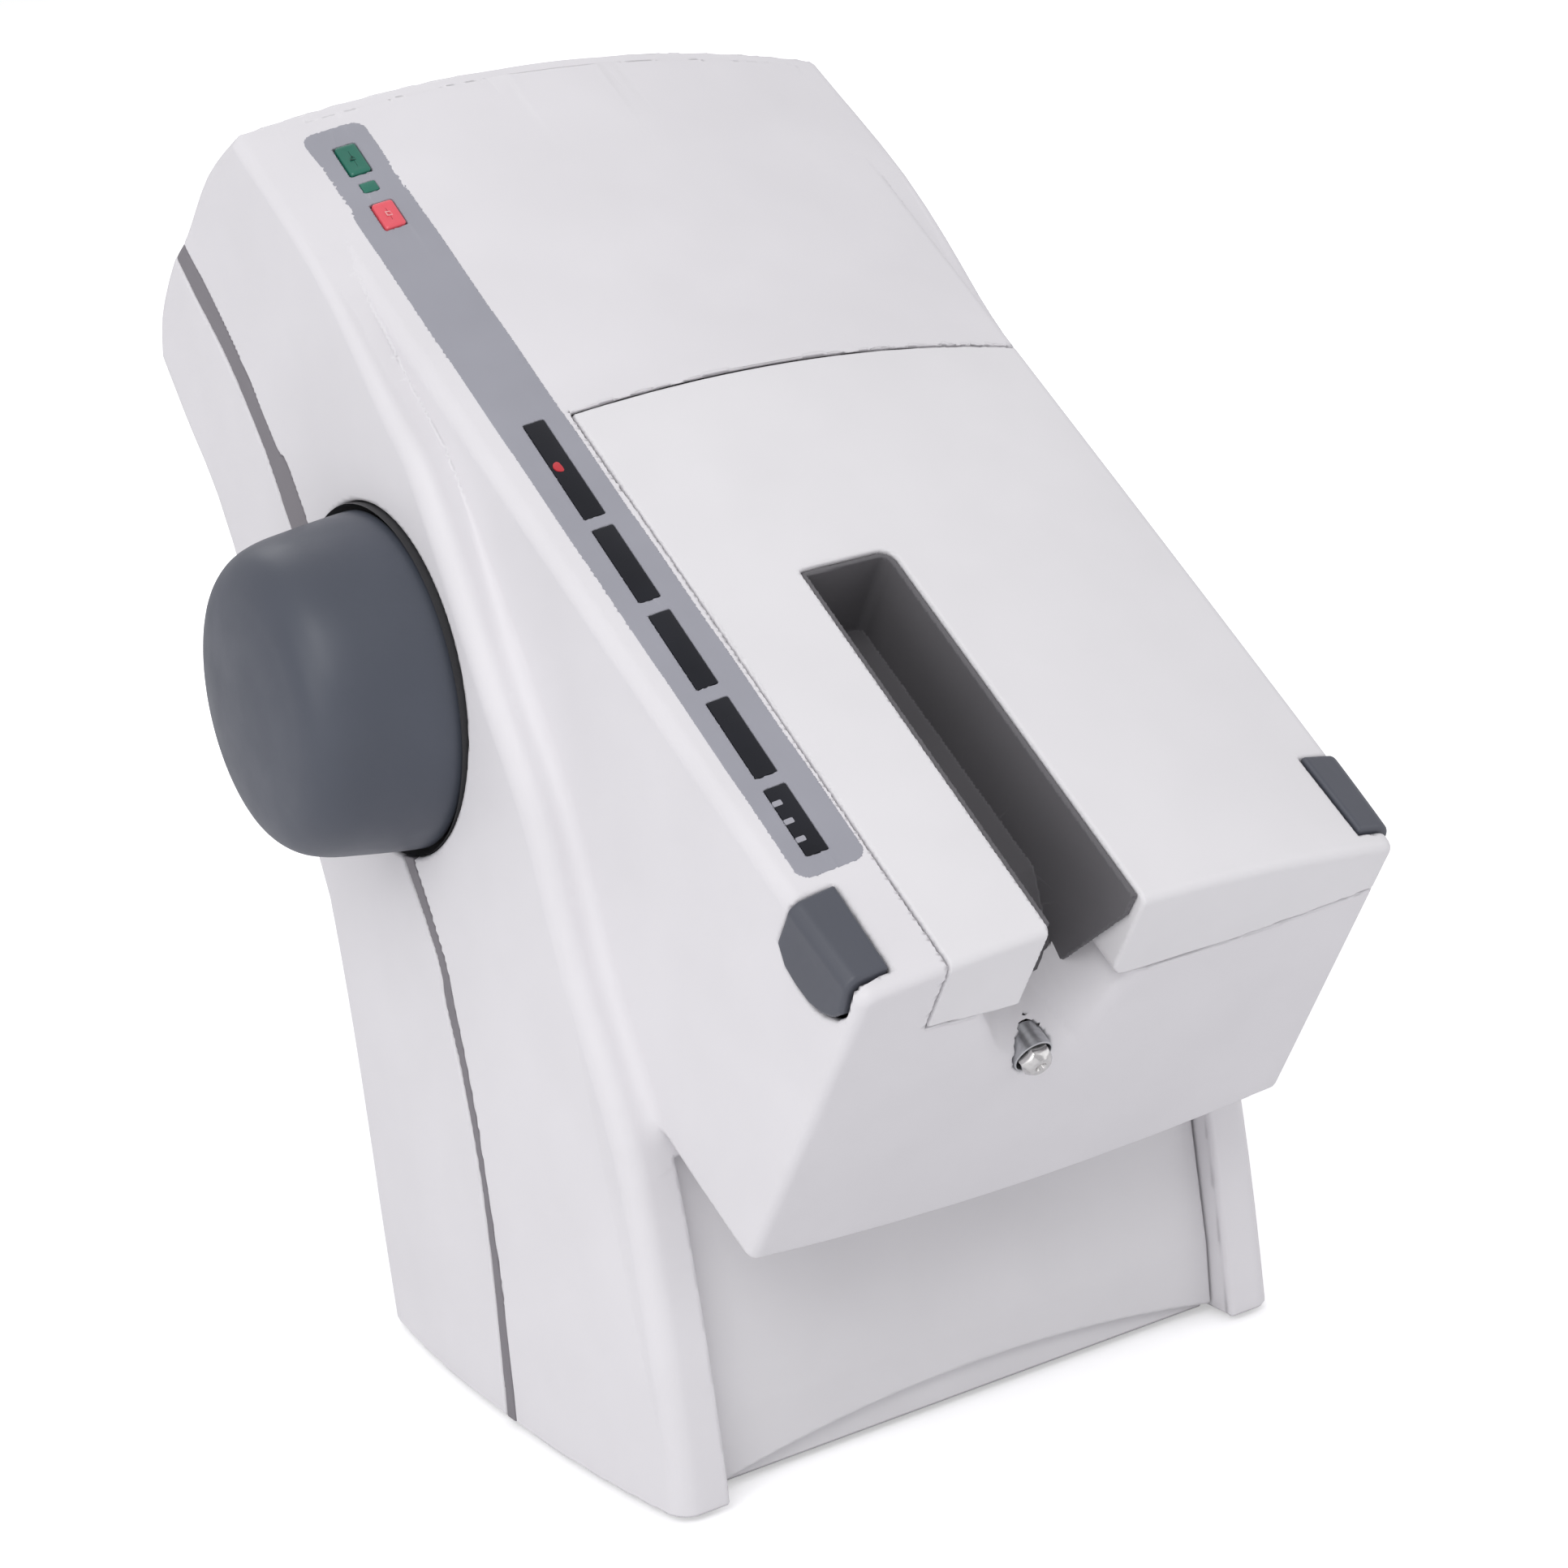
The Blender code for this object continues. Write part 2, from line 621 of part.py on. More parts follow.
def add_keys(head):
    """Start and stop keys, each a cap on a stem that reaches the board."""
    for name, (low, high), finish in (("start_key", START_KEY, GREEN), ("stop_key", STOP_KEY, RED)):
        x0, x1 = KEY_X
        middle = (x0 + x1) / 2
        key = add_mesh(name, *top_patch(x0, x1, low, high, 0.5, -5.0, 2, 2), head, finish)
        stem = add_mesh(f"cut_stem_{name}", *block((middle - 1.5, low + 4, -3.2),
                                                   (middle + 1.5, high - 4, 3.0)), head)
        combine(key, "UNION", stem)


def add_trough(head, drive_hole):
    """White U-shaped trough below the slot, from the front face to the cradle."""
    rings = []
    for share in (0.0, 0.35, 0.7, 1.0):
        inner = [(a + (c - a) * share, b + (d - b) * share)
                 for (a, b), (c, d) in zip(trough_outline(True), trough_outline(False))]
        outer = [(a + (c - a) * share, b + (d - b) * share)
                 for (a, b), (c, d) in zip(trough_outline(True, 2.0), trough_outline(False, 2.0))]
        s = 0.5 + 17.5 * share
        floor = -FLAP_SKIRT - FLAP_SKIRT_BELLY - 1.2
        ring = inner + outer[::-1]
        rings.append([(x, s, min(n, floor)) for x, n in ring])
    return cut(add_mesh("nozzle_trough", *loft(rings), head, WHITE), drive_hole)


def add_cradle(head, drive_hole):
    """Dark tray that holds the cartridge, open to the top and to the plungers."""
    cradle = add_mesh("cartridge_cradle", *block((-64, 19, -70), (64, 152, -22)), head, BAY_GREY)
    hollow = add_mesh("cut_cradle", *block((-61.5, 21.5, -67.5), (61.5, 160, 0)), head)
    notch = add_mesh("cut_notch", *along_y(trough_outline(False), 10, 25), head)
    return cut(cradle, hollow, notch, drive_hole)


def add_gear_frame(head, drive_hole):
    """Folded steel bracket: a plate that guides the racks and two cheeks for the cross shaft."""
    plate = add_mesh("gear_frame", *block((-66, 165.6, -92), (66, 168.1, -24)), head, STEEL)
    wheel_s, wheel_n = to_slope(WHEEL_Y, WHEEL_Z)
    for index, x in enumerate((-66, 40)):
        combine(plate, "UNION", add_mesh(f"cut_cheek_{index}", *block((x, 166.6, -92),
                                                                      (x + 2.5, 200, -66)), head))
    shaft = add_mesh("cut_cross_shaft", *along_x(circle((wheel_s, wheel_n), 4.4), -80, 60), head)
    slots = [add_mesh(f"cut_rack_{index}", *block((x - 4.5, 160, -68.5),
                                                  (x + 4.5, 180, -45.5)), head)
             for index, x in enumerate((BASE_X, CATALYST_X))]
    return cut(plate, shaft, *slots, drive_hole)


def add_hinge(head):
    """Blocks and pins that the flap turns on."""
    axis = (FLAP_AXIS_S, FLAP_AXIS_N)
    for side, x0, x1 in (("left", -65.5, -57.5), ("right", 69.0, 75.5)):
        boss = add_mesh(f"hinge_block_{side}", *along_x(circle(axis, 4.1), x0, x1), head, WHITE)
        stem = add_mesh(f"cut_hinge_stem_{side}", *block((x0, axis[0] - 3.5, -40),
                                                         (x1, axis[0] + 3.5, axis[1])), head)
        bore = add_mesh(f"cut_hinge_bore_{side}", *along_x(circle(axis, 2.15), x0 - 5, x1 + 5), head)
        combine(boss, "UNION", stem)
        cut(boss, bore)
    for side, x0, x1 in (("left", -63.5, -50.4), ("right", 70.0, 79.0)):
        add_mesh(f"hinge_pin_{side}", *along_x(circle((0, 0), 1.8, 16), x0, x1), head, STEEL,
                 (0, *axis))


def add_flap(head, cutters):
    flap = add_mesh("flap", *head_solid(), head, WHITE)
    region = add_mesh("cut_flap_region", *flap_region(), head)
    combine(flap, "INTERSECT", region)
    axis = (FLAP_AXIS_S, FLAP_AXIS_N)
    inner = add_mesh("cut_flap_inner", *head_solid(FLAP_WALL, FLAP_WALL), head)
    slot = add_mesh("cut_slot", *along_z(
        [(SLOT_RIGHT, -20), (SLOT_RIGHT, SLOT_REAR - SLOT_CORNER)]
        + arc((SLOT_RIGHT - SLOT_CORNER, SLOT_REAR - SLOT_CORNER), SLOT_CORNER, 0, 90, 4)
        + arc((SLOT_LEFT + SLOT_CORNER, SLOT_REAR - SLOT_CORNER), SLOT_CORNER, 90, 180, 4)
        + [(SLOT_LEFT, -20)], -60, 40), head)
    cut(flap, inner, slot, cutters["lever", 1])
    lug = add_mesh("cut_flap_lug", *block((FLAP_LEFT + 0.3, axis[0] - 4.5, axis[1] - 4.5),
                                          (FLAP_LEFT + 4.2, axis[0] + 4.5, 5.0)), head)
    combine(flap, "UNION", lug)
    pins = add_mesh("cut_flap_pins", *along_x(circle(axis, 2.15), -70, 79.5), head)
    return cut(flap, pins)


def add_levers(head):
    """Release levers that wrap over both front corners, and their pins."""
    for side, name in ((-1, "left"), (1, "right")):
        outer = head_solid(-1.0, -1.0)
        lever = add_mesh(f"lever_{name}", *outer, head, DARK)
        x0, x1 = sorted((side * LEVER_INNER, side * 100))
        region = add_mesh(f"cut_lever_region_{name}", *along_x(lever_outline(), x0, x1), head)
        inner = add_mesh(f"cut_lever_inner_{name}", *head_solid(WALL + 1.2, -5), head)
        combine(lever, "INTERSECT", region)
        pin = (side * LEVER_PIN[0], LEVER_PIN[1])
        knuckle = add_mesh(f"cut_knuckle_{name}", *along_y(circle(pin, 2.6, 16), 8.5, 29.5), head)
        bore = add_mesh(f"cut_lever_bore_{name}", *along_y(circle(pin, 1.3, 16), 0, 40), head)
        cut(lever, inner)
        combine(lever, "UNION", knuckle)
        cut(lever, bore)
        add_mesh(f"lever_pin_{name}", *along_y(circle((0, 0), 1.0, 12), 5.5, 37), head, STEEL,
                 (pin[0], 0, pin[1]))


# ---------------------------------------------------------------- drive

def add_handwheel(machine):
    """Handwheel with its hub, cross shaft and the two pinions."""
    place = (0, WHEEL_Y, WHEEL_Z)
    out = WHEEL_OUT
    fillet = WHEEL_FILLET
    edge = [(out + 2 + fillet * (1 - math.sin(math.radians(angle))),
             WHEEL_FACE + fillet * math.cos(math.radians(angle))) for angle in (90, 60, 30, 0)]
    profile = [(out, 0), (out + 0.7, 14)] + edge + [(-95, WHEEL_RADIUS - 0.3), (-95, 43),
                                                    (out + 21, 39.5), (out + 12, 36),
                                                    (out + 8, 27), (out + 8, 9.3),
                                                    (-99.5, 9.3), (-99.5, 0)]
    wheel = add_mesh("handwheel", *lathe(profile, 40), machine, DARK, place)
    bore = add_mesh("cut_wheel_bore", *along_x(circle((WHEEL_Y, WHEEL_Z), 6.3, 24), out + 5, -60),
                    machine)
    cut(wheel, bore)
    hub = lathe([(out + 6, 0), (out + 6, 6), (-97, 6), (-97, 0)], 24)
    hub = add_mesh("wheel_hub", *hub, machine, STEEL, place)
    seat = add_mesh("cut_hub_seat", *along_x(circle((WHEEL_Y, WHEEL_Z), 4.3, 24), -125, -60), machine)
    cut(hub, seat)
    add_mesh("wheel_shaft", *along_x(circle((0, 0), 4.0, 24), -124.5, 46), machine, STEEL, place)
    for name, x in (("base_pinion", BASE_X), ("catalyst_pinion", CATALYST_X)):
        outline = gear_outline(PINION_TEETH, RACK_MODULE, 0.9, 0.9,
                               turned=math.radians(90) + SLOPE)
        pinion = add_mesh(name, *along_x(outline, x - PINION_WIDTH / 2, x + PINION_WIDTH / 2),
                          machine, STEEL, place)
        hole = add_mesh(f"cut_{name}", *along_x(circle((WHEEL_Y, WHEEL_Z), 4.3, 24), x - 10, x + 10),
                        machine)
        cut(pinion, hole)
    bearing = lathe([(-99, 0), (-99, 9), (-84, 9), (-84, 0)], 24)
    bearing = add_mesh("wheel_bearing", *bearing, machine, BLACK, place)
    hole = add_mesh("cut_wheel_bearing", *along_x(circle((WHEEL_Y, WHEEL_Z), 6.4, 24), -120, -96.5),
                    machine)
    through = add_mesh("cut_wheel_through", *along_x(circle((WHEEL_Y, WHEEL_Z), 4.3, 24), -120, -60),
                       machine)
    return cut(bearing, hole, through)


def add_plungers(head):
    """Plunger discs on toothed bars that the pinions drive."""
    wheel_s, wheel_n = to_slope(WHEEL_Y, WHEEL_Z)
    line = wheel_n + RACK_MODULE * PINION_TEETH / 2
    pitch = math.pi * RACK_MODULE
    slope = math.tan(math.radians(20))
    tip = line - 0.65 * RACK_MODULE
    root = line + 1.2 * RACK_MODULE
    start = PLUNGER_FRONT + PLUNGER_THICK - 0.5
    first = wheel_s + pitch / 2
    while first - pitch > start + 3:
        first -= pitch
    bar = [(start, root + RACK_HEIGHT), (start, root)]
    for tooth in range(RACK_TEETH):
        middle = first + tooth * pitch
        for side, height in ((-1, root), (-1, tip), (1, tip), (1, root)):
            half = pitch / 4 - 0.12 + slope * (height - line)
            bar.append((middle + side * half, height))
    end = bar[-1][0] + 3
    bar += [(end, root), (end, root + RACK_HEIGHT)]
    for name, x, radius in (("base_plunger", BASE_X, BASE_RADIUS),
                            ("catalyst_plunger", CATALYST_X, CATALYST_RADIUS)):
        plunger = add_mesh(name, *along_y(circle((x, PLUNGER_N), radius, 36), PLUNGER_FRONT,
                                          PLUNGER_FRONT + PLUNGER_THICK), head, BAY_GREY)
        rack = add_mesh(f"cut_bar_{name}", *along_x(bar, x - 3.5, x + 3.5), head)
        combine(plunger, "UNION", rack)


def add_mixing_drive(head):
    """Mixing shaft with its gear, and the motor with its pinion."""
    place = (SHAFT_X, 0, SHAFT_N)
    hexagon = circle((0, 0), SHAFT_RADIUS, 6)
    tip = loft([[(x * scale, s, z * scale) for x, z in hexagon] for s, scale in
                ((SHAFT_TIP, 0.72), (SHAFT_TIP + 1.2, 1.0), (5, 1.0))])
    shaft = add_mesh("drive_shaft", *tip, head, STEEL, place)
    rod = add_mesh("cut_rod", *along_y(circle((SHAFT_X, SHAFT_N), 4.0, 20), 4.5, 222), head)
    combine(shaft, "UNION", rod)
    outline = gear_outline(DRIVE_TEETH, DRIVE_MODULE, 0.7, 1.0, turned=math.radians(-90))
    gear = add_mesh("drive_gear", *along_y(outline, GEAR_S, GEAR_S + GEAR_WIDTH), head, WHITE, place)
    cut(gear, add_mesh("cut_gear_bore", *along_y(circle((SHAFT_X, SHAFT_N), 4.3, 20), 190, 240),
                       head))
    reach = DRIVE_MODULE * (DRIVE_TEETH + MOTOR_TEETH) / 2
    motor_n = SHAFT_N - reach
    outline = gear_outline(MOTOR_TEETH, DRIVE_MODULE, 0.7, 1.0,
                           turned=math.radians(90) + math.pi / MOTOR_TEETH)
    pinion = add_mesh("motor_pinion", *along_y(outline, GEAR_S, 226.0), head, STEEL,
                      (SHAFT_X, 0, motor_n))
    bore = add_mesh("cut_motor_bore", *along_y(circle((SHAFT_X, motor_n), 2.8, 16), 220, 240), head)
    cut(pinion, bore)
    bracket = add_mesh("motor_bracket", *block((-36, 227.5, -100), (12, 230, -34)), head, STEEL)
    hole = add_mesh("cut_bracket_hole", *along_y(circle((SHAFT_X, motor_n), 8.0), 220, 240), head)
    seat = add_mesh("cut_bearing_seat", *along_y(circle((SHAFT_X, SHAFT_N), 7.3), 200, 240), head)
    cut(bracket, hole, seat)
    motor = add_mesh("motor", *along_y(circle((SHAFT_X, motor_n), 21.0, 32), 230.4, 285), head, STEEL)
    nose = add_mesh("cut_motor_nose", *along_y(circle((SHAFT_X, motor_n), 2.4, 16), 221, 231), head)
    boss = add_mesh("cut_motor_boss", *along_y(circle((SHAFT_X, motor_n), 7.5, 24), 228, 231), head)
    combine(motor, "UNION", nose, boss)
    bearing = add_mesh("shaft_bearing", *along_y(circle((SHAFT_X, SHAFT_N), 7.0, 24), 223, 234), head,
                       BLACK)
    pocket = add_mesh("cut_bearing_pocket", *along_y(circle((SHAFT_X, SHAFT_N), 4.3, 20), 215, 229),
                      head)
    return cut(bearing, pocket)


def add_electrics(machine, head):
    add_mesh("control_board", *block((-72, 205, -8.6), (-50, 310, -7.0)), head, BOARD_GREEN)
    add_mesh("power_supply", *block((-64, 58, 17), (20, 132, 55)), machine, STEEL)
    inlet = add_mesh("mains_inlet", *block((40.5, REAR_FACE - 7.1, 20),
                                           (68.5, REAR_FACE + 1.9, 42)), machine, BLACK)
    grille = add_mesh("vent_grille", *block((-33.6, REAR_FACE - 1.9, 60.4),
                                            (33.6, REAR_FACE + 0.5, 91.6)), machine, BLACK)
    for index in range(8):
        z = 63.5 + 3.4 * index
        louvre = block((-30, REAR_FACE - 5, z), (30, REAR_FACE + 5, z + 1.6))
        cut(grille, add_mesh(f"cut_louvre_{index}", *louvre, machine))
    socket = add_mesh("cut_socket", *block((44.5, REAR_FACE - 4.1, 24.5),
                                           (64.5, REAR_FACE + 15, 37.5)), machine)
    frame = add_mesh("cut_inlet_body", *block((42, REAR_FACE - 35, 22),
                                              (67, REAR_FACE - 5.1, 40)), machine)
    combine(inlet, "UNION", frame)
    cut(inlet, socket)
    bezel = add_mesh("switch_frame", *block((-64, REAR_FACE - 9.1, 22),
                                            (-44, REAR_FACE + 1.4, 36)), machine, BLACK)
    cut(bezel, add_mesh("cut_rocker", *block((-62, REAR_FACE - 25, 23.8),
                                             (-46, REAR_FACE + 15, 34.2)), machine))
    rocker = [(-5, -3.4), (-5, 3.4), (0.6, 4.3), (1.8, 0), (2.8, -4.3)]
    add_mesh("power_switch", *along_x(rocker, -61.5, -46.5), machine, BLACK,
             (0, REAR_FACE - 1.6, 29))


def build():
    clear_scene()
    machine = add_frame("machine", (MACHINE_X, MACHINE_Y, MACHINE_Z))
    head = add_frame("head", (0, HEAD_Y, HEAD_Z), SLOPE, machine)
    cutters = add_cutters(machine, head)
    drive_hole = add_mesh("cut_drive_hole", *along_y(circle((SHAFT_X, SHAFT_N), 5.2), -12, 195), head)
    add_front_housing(head, cutters, machine)
    add_rear_housing(machine, cutters)
    add_seam_trim(machine, cutters)
    add_wheel_well(machine)
    add_front_panel(machine)
    add_base(machine)
    add_control_strip(head)
    add_keys(head)
    add_trough(head, drive_hole)
    add_cradle(head, drive_hole)
    add_gear_frame(head, drive_hole)
    add_hinge(head)
    add_flap(head, cutters)
    add_levers(head)
    add_handwheel(machine)
    add_plungers(head)
    add_mixing_drive(head)
    add_electrics(machine, head)


build()
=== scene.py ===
"""Looks of a desktop mixing unit for dental impression material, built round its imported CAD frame.

The moulded shells are surfaces of distance fields, so that creases and edges get the soft radii of
real mouldings. Sizes are millimetres of the machine frame until a mesh is made: X to the right, Y to
the back, Z up, on the symmetry plane between the front pillars. The head frame lies in the sloping
top: x to the right, s up the slope, n out of it.
"""

import logging
import math
from dataclasses import dataclass, field
from enum import Enum
from typing import Callable, Sequence

import bmesh
import bpy
import numpy as np
from mathutils import Matrix, Vector


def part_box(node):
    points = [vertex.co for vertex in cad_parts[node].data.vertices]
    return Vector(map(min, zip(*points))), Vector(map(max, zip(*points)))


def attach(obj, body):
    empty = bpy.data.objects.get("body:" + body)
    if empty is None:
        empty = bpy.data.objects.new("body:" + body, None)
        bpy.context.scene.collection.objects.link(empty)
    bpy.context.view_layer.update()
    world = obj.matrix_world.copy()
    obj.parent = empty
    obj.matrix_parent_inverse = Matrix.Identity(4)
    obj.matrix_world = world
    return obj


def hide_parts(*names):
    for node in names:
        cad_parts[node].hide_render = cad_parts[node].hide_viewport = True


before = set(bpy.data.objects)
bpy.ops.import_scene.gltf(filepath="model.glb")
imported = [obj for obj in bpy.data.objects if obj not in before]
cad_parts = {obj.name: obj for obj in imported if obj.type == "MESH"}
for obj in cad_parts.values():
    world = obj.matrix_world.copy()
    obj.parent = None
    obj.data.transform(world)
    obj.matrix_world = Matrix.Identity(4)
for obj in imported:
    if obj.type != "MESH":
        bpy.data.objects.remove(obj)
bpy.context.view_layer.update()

LOG = logging.getLogger("mixing_unit")
MM = 0.001

Array = np.ndarray
Field = Callable[[Array, Array, Array], Array]
Point = Sequence[float]
Color = tuple[float, float, float]

# The handwheel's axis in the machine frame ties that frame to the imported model.
WHEEL_Y = 114.5
WHEEL_Z = 199.5
SLOPE = math.radians(35.8)
HEAD_Y = -84.5
HEAD_Z = 153.0
WALL = 3.0
PLAY = 0.4
SOFT_EDGE = 0.7
FOOT_EDGE = 0.8


def _machine_origin() -> Vector:
    """The machine frame's origin in the row frame, in metres."""
    low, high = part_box("front_housing")
    wheel_low, wheel_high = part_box("handwheel")
    wheel = (wheel_low + wheel_high) / 2
    return Vector(((low.x + high.x) / 2, wheel.y - WHEEL_Y * MM, wheel.z - WHEEL_Z * MM))


ORIGIN = _machine_origin()
HEAD_TURN = Matrix.Rotation(SLOPE, 4, "X")
HEAD_TO_MACHINE = Matrix.Translation((0, HEAD_Y, HEAD_Z)) @ HEAD_TURN
MACHINE_TO_ROW = Matrix.Translation(ORIGIN) @ Matrix.Scale(MM, 4)


class Body(Enum):
    """The CAD bodies that pieces ride on."""

    CABINET = "cabinet"
    FLAP = "flap"
    LEVER_LEFT = "lever_left"
    LEVER_RIGHT = "lever_right"
    START_KEY = "start_key"
    STOP_KEY = "stop_key"
    HANDWHEEL = "handwheel"
    MIXING_SHAFT = "mixing_shaft"


class Side(Enum):
    """Left or right, as the sign of X."""

    LEFT = -1
    RIGHT = 1


# ---------------------------------------------------------------- finishes


class Shade:
    """A node material under construction, with short ways to add its nodes."""

    def __init__(self, name: str) -> None:
        """Starts a material with a lone Principled shader."""
        self.material = bpy.data.materials.new(name)
        self.material.use_nodes = True
        self.tree = self.material.node_tree
        self.shader = self.tree.nodes["Principled BSDF"]
        self.place = self.add("ShaderNodeTexCoord").outputs["Object"]

    def add(self, kind: str, **settings: object) -> bpy.types.Node:
        """Adds a node and sets its properties."""
        node = self.tree.nodes.new(kind)
        for key, value in settings.items():
            setattr(node, key, value)
        return node

    def link(self, source: bpy.types.NodeSocket, target: bpy.types.NodeSocket) -> None:
        """Links two sockets."""
        self.tree.links.new(source, target)

    def set(self, **values: object) -> None:
        """Sets sockets of the shader; a double underscore stands for a space."""
        for key, value in values.items():
            self.shader.inputs[key.replace("__", " ")].default_value = value

    def noise(self, size_mm: float, detail: float = 2.0, stretch: Point = (1, 1, 1),
              roughness: float = 0.5) -> bpy.types.NodeSocket:
        """A noise of about this feature size.

        Args:
            size_mm: size of a feature in millimetres.
            detail: number of finer octaves.
            stretch: how much the pattern is squeezed along each axis.
            roughness: weight of the finer octaves.

        Returns:
            The noise's factor output.
        """
        scaled = self.add("ShaderNodeMapping")
        scaled.inputs["Scale"].default_value = stretch
        self.link(self.place, scaled.inputs["Vector"])
        node = self.add("ShaderNodeTexNoise")
        node.inputs["Scale"].default_value = 1.0 / (size_mm * MM)
        node.inputs["Detail"].default_value = detail
        node.inputs["Roughness"].default_value = roughness
        self.link(scaled.outputs["Vector"], node.inputs["Vector"])
        return node.outputs["Fac"]

    def spread(self, value: bpy.types.NodeSocket, low: float, high: float,
               start: float = 0.3, end: float = 0.7) -> bpy.types.NodeSocket:
        """Maps a pattern from start..end to low..high."""
        node = self.add("ShaderNodeMapRange")
        for socket, number in (("From Min", start), ("From Max", end), ("To Min", low), ("To Max", high)):
            node.inputs[socket].default_value = number
        self.link(value, node.inputs["Value"])
        return node.outputs["Result"]

    def tint(self, value: bpy.types.NodeSocket, first: Color, second: Color) -> None:
        """Drives the base colour between two colours by a pattern."""
        node = self.add("ShaderNodeMix", data_type="RGBA")
        node.inputs["A"].default_value = (*first, 1.0)
        node.inputs["B"].default_value = (*second, 1.0)
        self.link(value, node.inputs["Factor"])
        self.link(node.outputs["Result"], self.shader.inputs["Base Color"])

    def bump(self, *layers: tuple[bpy.types.NodeSocket, float, float]) -> None:
        """Stacks bumps, each a (height, strength, depth in mm), into the shader's normal."""
        normal = None
        for height, strength, depth in layers:
            node = self.add("ShaderNodeBump")
            node.inputs["Strength"].default_value = strength
            node.inputs["Distance"].default_value = depth * MM
            self.link(height, node.inputs["Height"])
            if normal is not None:
                self.link(normal, node.inputs["Normal"])
            normal = node.outputs["Normal"]
        self.link(normal, self.shader.inputs["Normal"])


@dataclass(frozen=True)
class MouldedPlastic:
    """A moulded plastic with a fine spark-eroded texture and slight unevenness."""

    name: str
    tone: Color
    rough: float = 0.42
    grain: float = 0.45
    relief: float = 0.03
    mottle: float = 0.02
    specular: float = 0.4
    flow: float = 38.0

    def build(self) -> bpy.types.Material:
        """Makes the material."""
        shade = Shade(self.name)
        broad = shade.spread(shade.noise(self.flow, 2.0), 0.0, 1.0)
        first = tuple(value * (1 - self.mottle) for value in self.tone)
        second = tuple(min(value * (1 + self.mottle), 1.0) for value in self.tone)
        shade.tint(broad, first, second)
        fine = shade.noise(self.grain, 2.0)
        patch = shade.noise(self.flow * 0.4, 3.0)
        shade.link(shade.spread(patch, self.rough - 0.04, self.rough + 0.05),
                   shade.shader.inputs["Roughness"])
        shade.bump((fine, 0.35, self.relief), (shade.noise(self.flow * 0.6, 1.0), 0.12, 0.25))
        shade.set(Specular__IOR__Level=self.specular)
        return shade.material


@dataclass(frozen=True)
class BrushedMetal:
    """Metal with fine brush lines along one axis."""

    name: str
    tone: Color
    rough: float = 0.26
    along: Point = (1, 0.05, 0.05)
    lines: float = 0.5

    def build(self) -> bpy.types.Material:
        """Makes the material."""
        shade = Shade(self.name)
        brush = shade.noise(self.lines, 3.0, self.along)
        smear = shade.noise(9.0, 2.0)
        shade.tint(shade.spread(brush, 0.0, 1.0), tuple(v * 0.86 for v in self.tone), self.tone)
        shade.link(shade.spread(smear, self.rough - 0.06, self.rough + 0.1),
                   shade.shader.inputs["Roughness"])
        shade.bump((brush, 0.25, 0.02))
        shade.set(Metallic=1.0)
        return shade.material


@dataclass(frozen=True)
class Rubber:
    """Dull rubber with a pebbled skin."""

    name: str
    tone: Color
    rough: float = 0.82

    def build(self) -> bpy.types.Material:
        """Makes the material."""
        shade = Shade(self.name)
        shade.tint(shade.spread(shade.noise(4.0, 3.0), 0.0, 1.0), self.tone,
                   tuple(value * 1.7 for value in self.tone))
        shade.link(shade.spread(shade.noise(2.0), self.rough - 0.06, self.rough + 0.08),
                   shade.shader.inputs["Roughness"])
        shade.bump((shade.noise(0.7, 2.0), 0.5, 0.08))
        return shade.material


@dataclass(frozen=True)
class PrintedFilm:
    """A smooth film laid on the panel, with a faint texture and, where a coat weight is given, a clear
    coat.
    """

    name: str
    tone: Color
    rough: float = 0.32
    coat: float = 0.0
    fade: float = 0.03
    glow: float = 0.0
    specular: float = 0.5

    def build(self) -> bpy.types.Material:
        """Makes the material."""
        shade = Shade(self.name)
        shade.tint(shade.spread(shade.noise(22.0, 2.0), 0.0, 1.0),
                   tuple(value * (1 - self.fade) for value in self.tone),
                   tuple(min(value * (1 + self.fade), 1.0) for value in self.tone))
        shade.link(shade.spread(shade.noise(6.0, 3.0), self.rough - 0.05, self.rough + 0.06),
                   shade.shader.inputs["Roughness"])
        shade.bump((shade.noise(0.3, 2.0), 0.2, 0.012))
        shade.set(Coat__Weight=self.coat, Coat__Roughness=0.12, Specular__IOR__Level=self.specular)
        if self.glow:
            shade.set(Emission__Color=(*self.tone, 1.0), Emission__Strength=self.glow)
        return shade.material


@dataclass(frozen=True)
class CircuitBoard:
    """Green laminate with faint copper tracks under the lacquer."""

    name: str
    tone: Color = (0.02, 0.13, 0.06)
    track: Color = (0.05, 0.24, 0.11)

    def build(self) -> bpy.types.Material:
        """Makes the material."""
        shade = Shade(self.name)
        node = shade.add("ShaderNodeTexBrick", offset=0.35)
        node.inputs["Scale"].default_value = 90.0
        node.inputs["Mortar Size"].default_value = 0.012
        shade.link(shade.place, node.inputs["Vector"])
        shade.tint(node.outputs["Fac"], self.tone, self.track)
        shade.link(shade.spread(shade.noise(3.0), 0.28, 0.4), shade.shader.inputs["Roughness"])
        shade.bump((node.outputs["Fac"], 0.4, 0.04))
        return shade.material


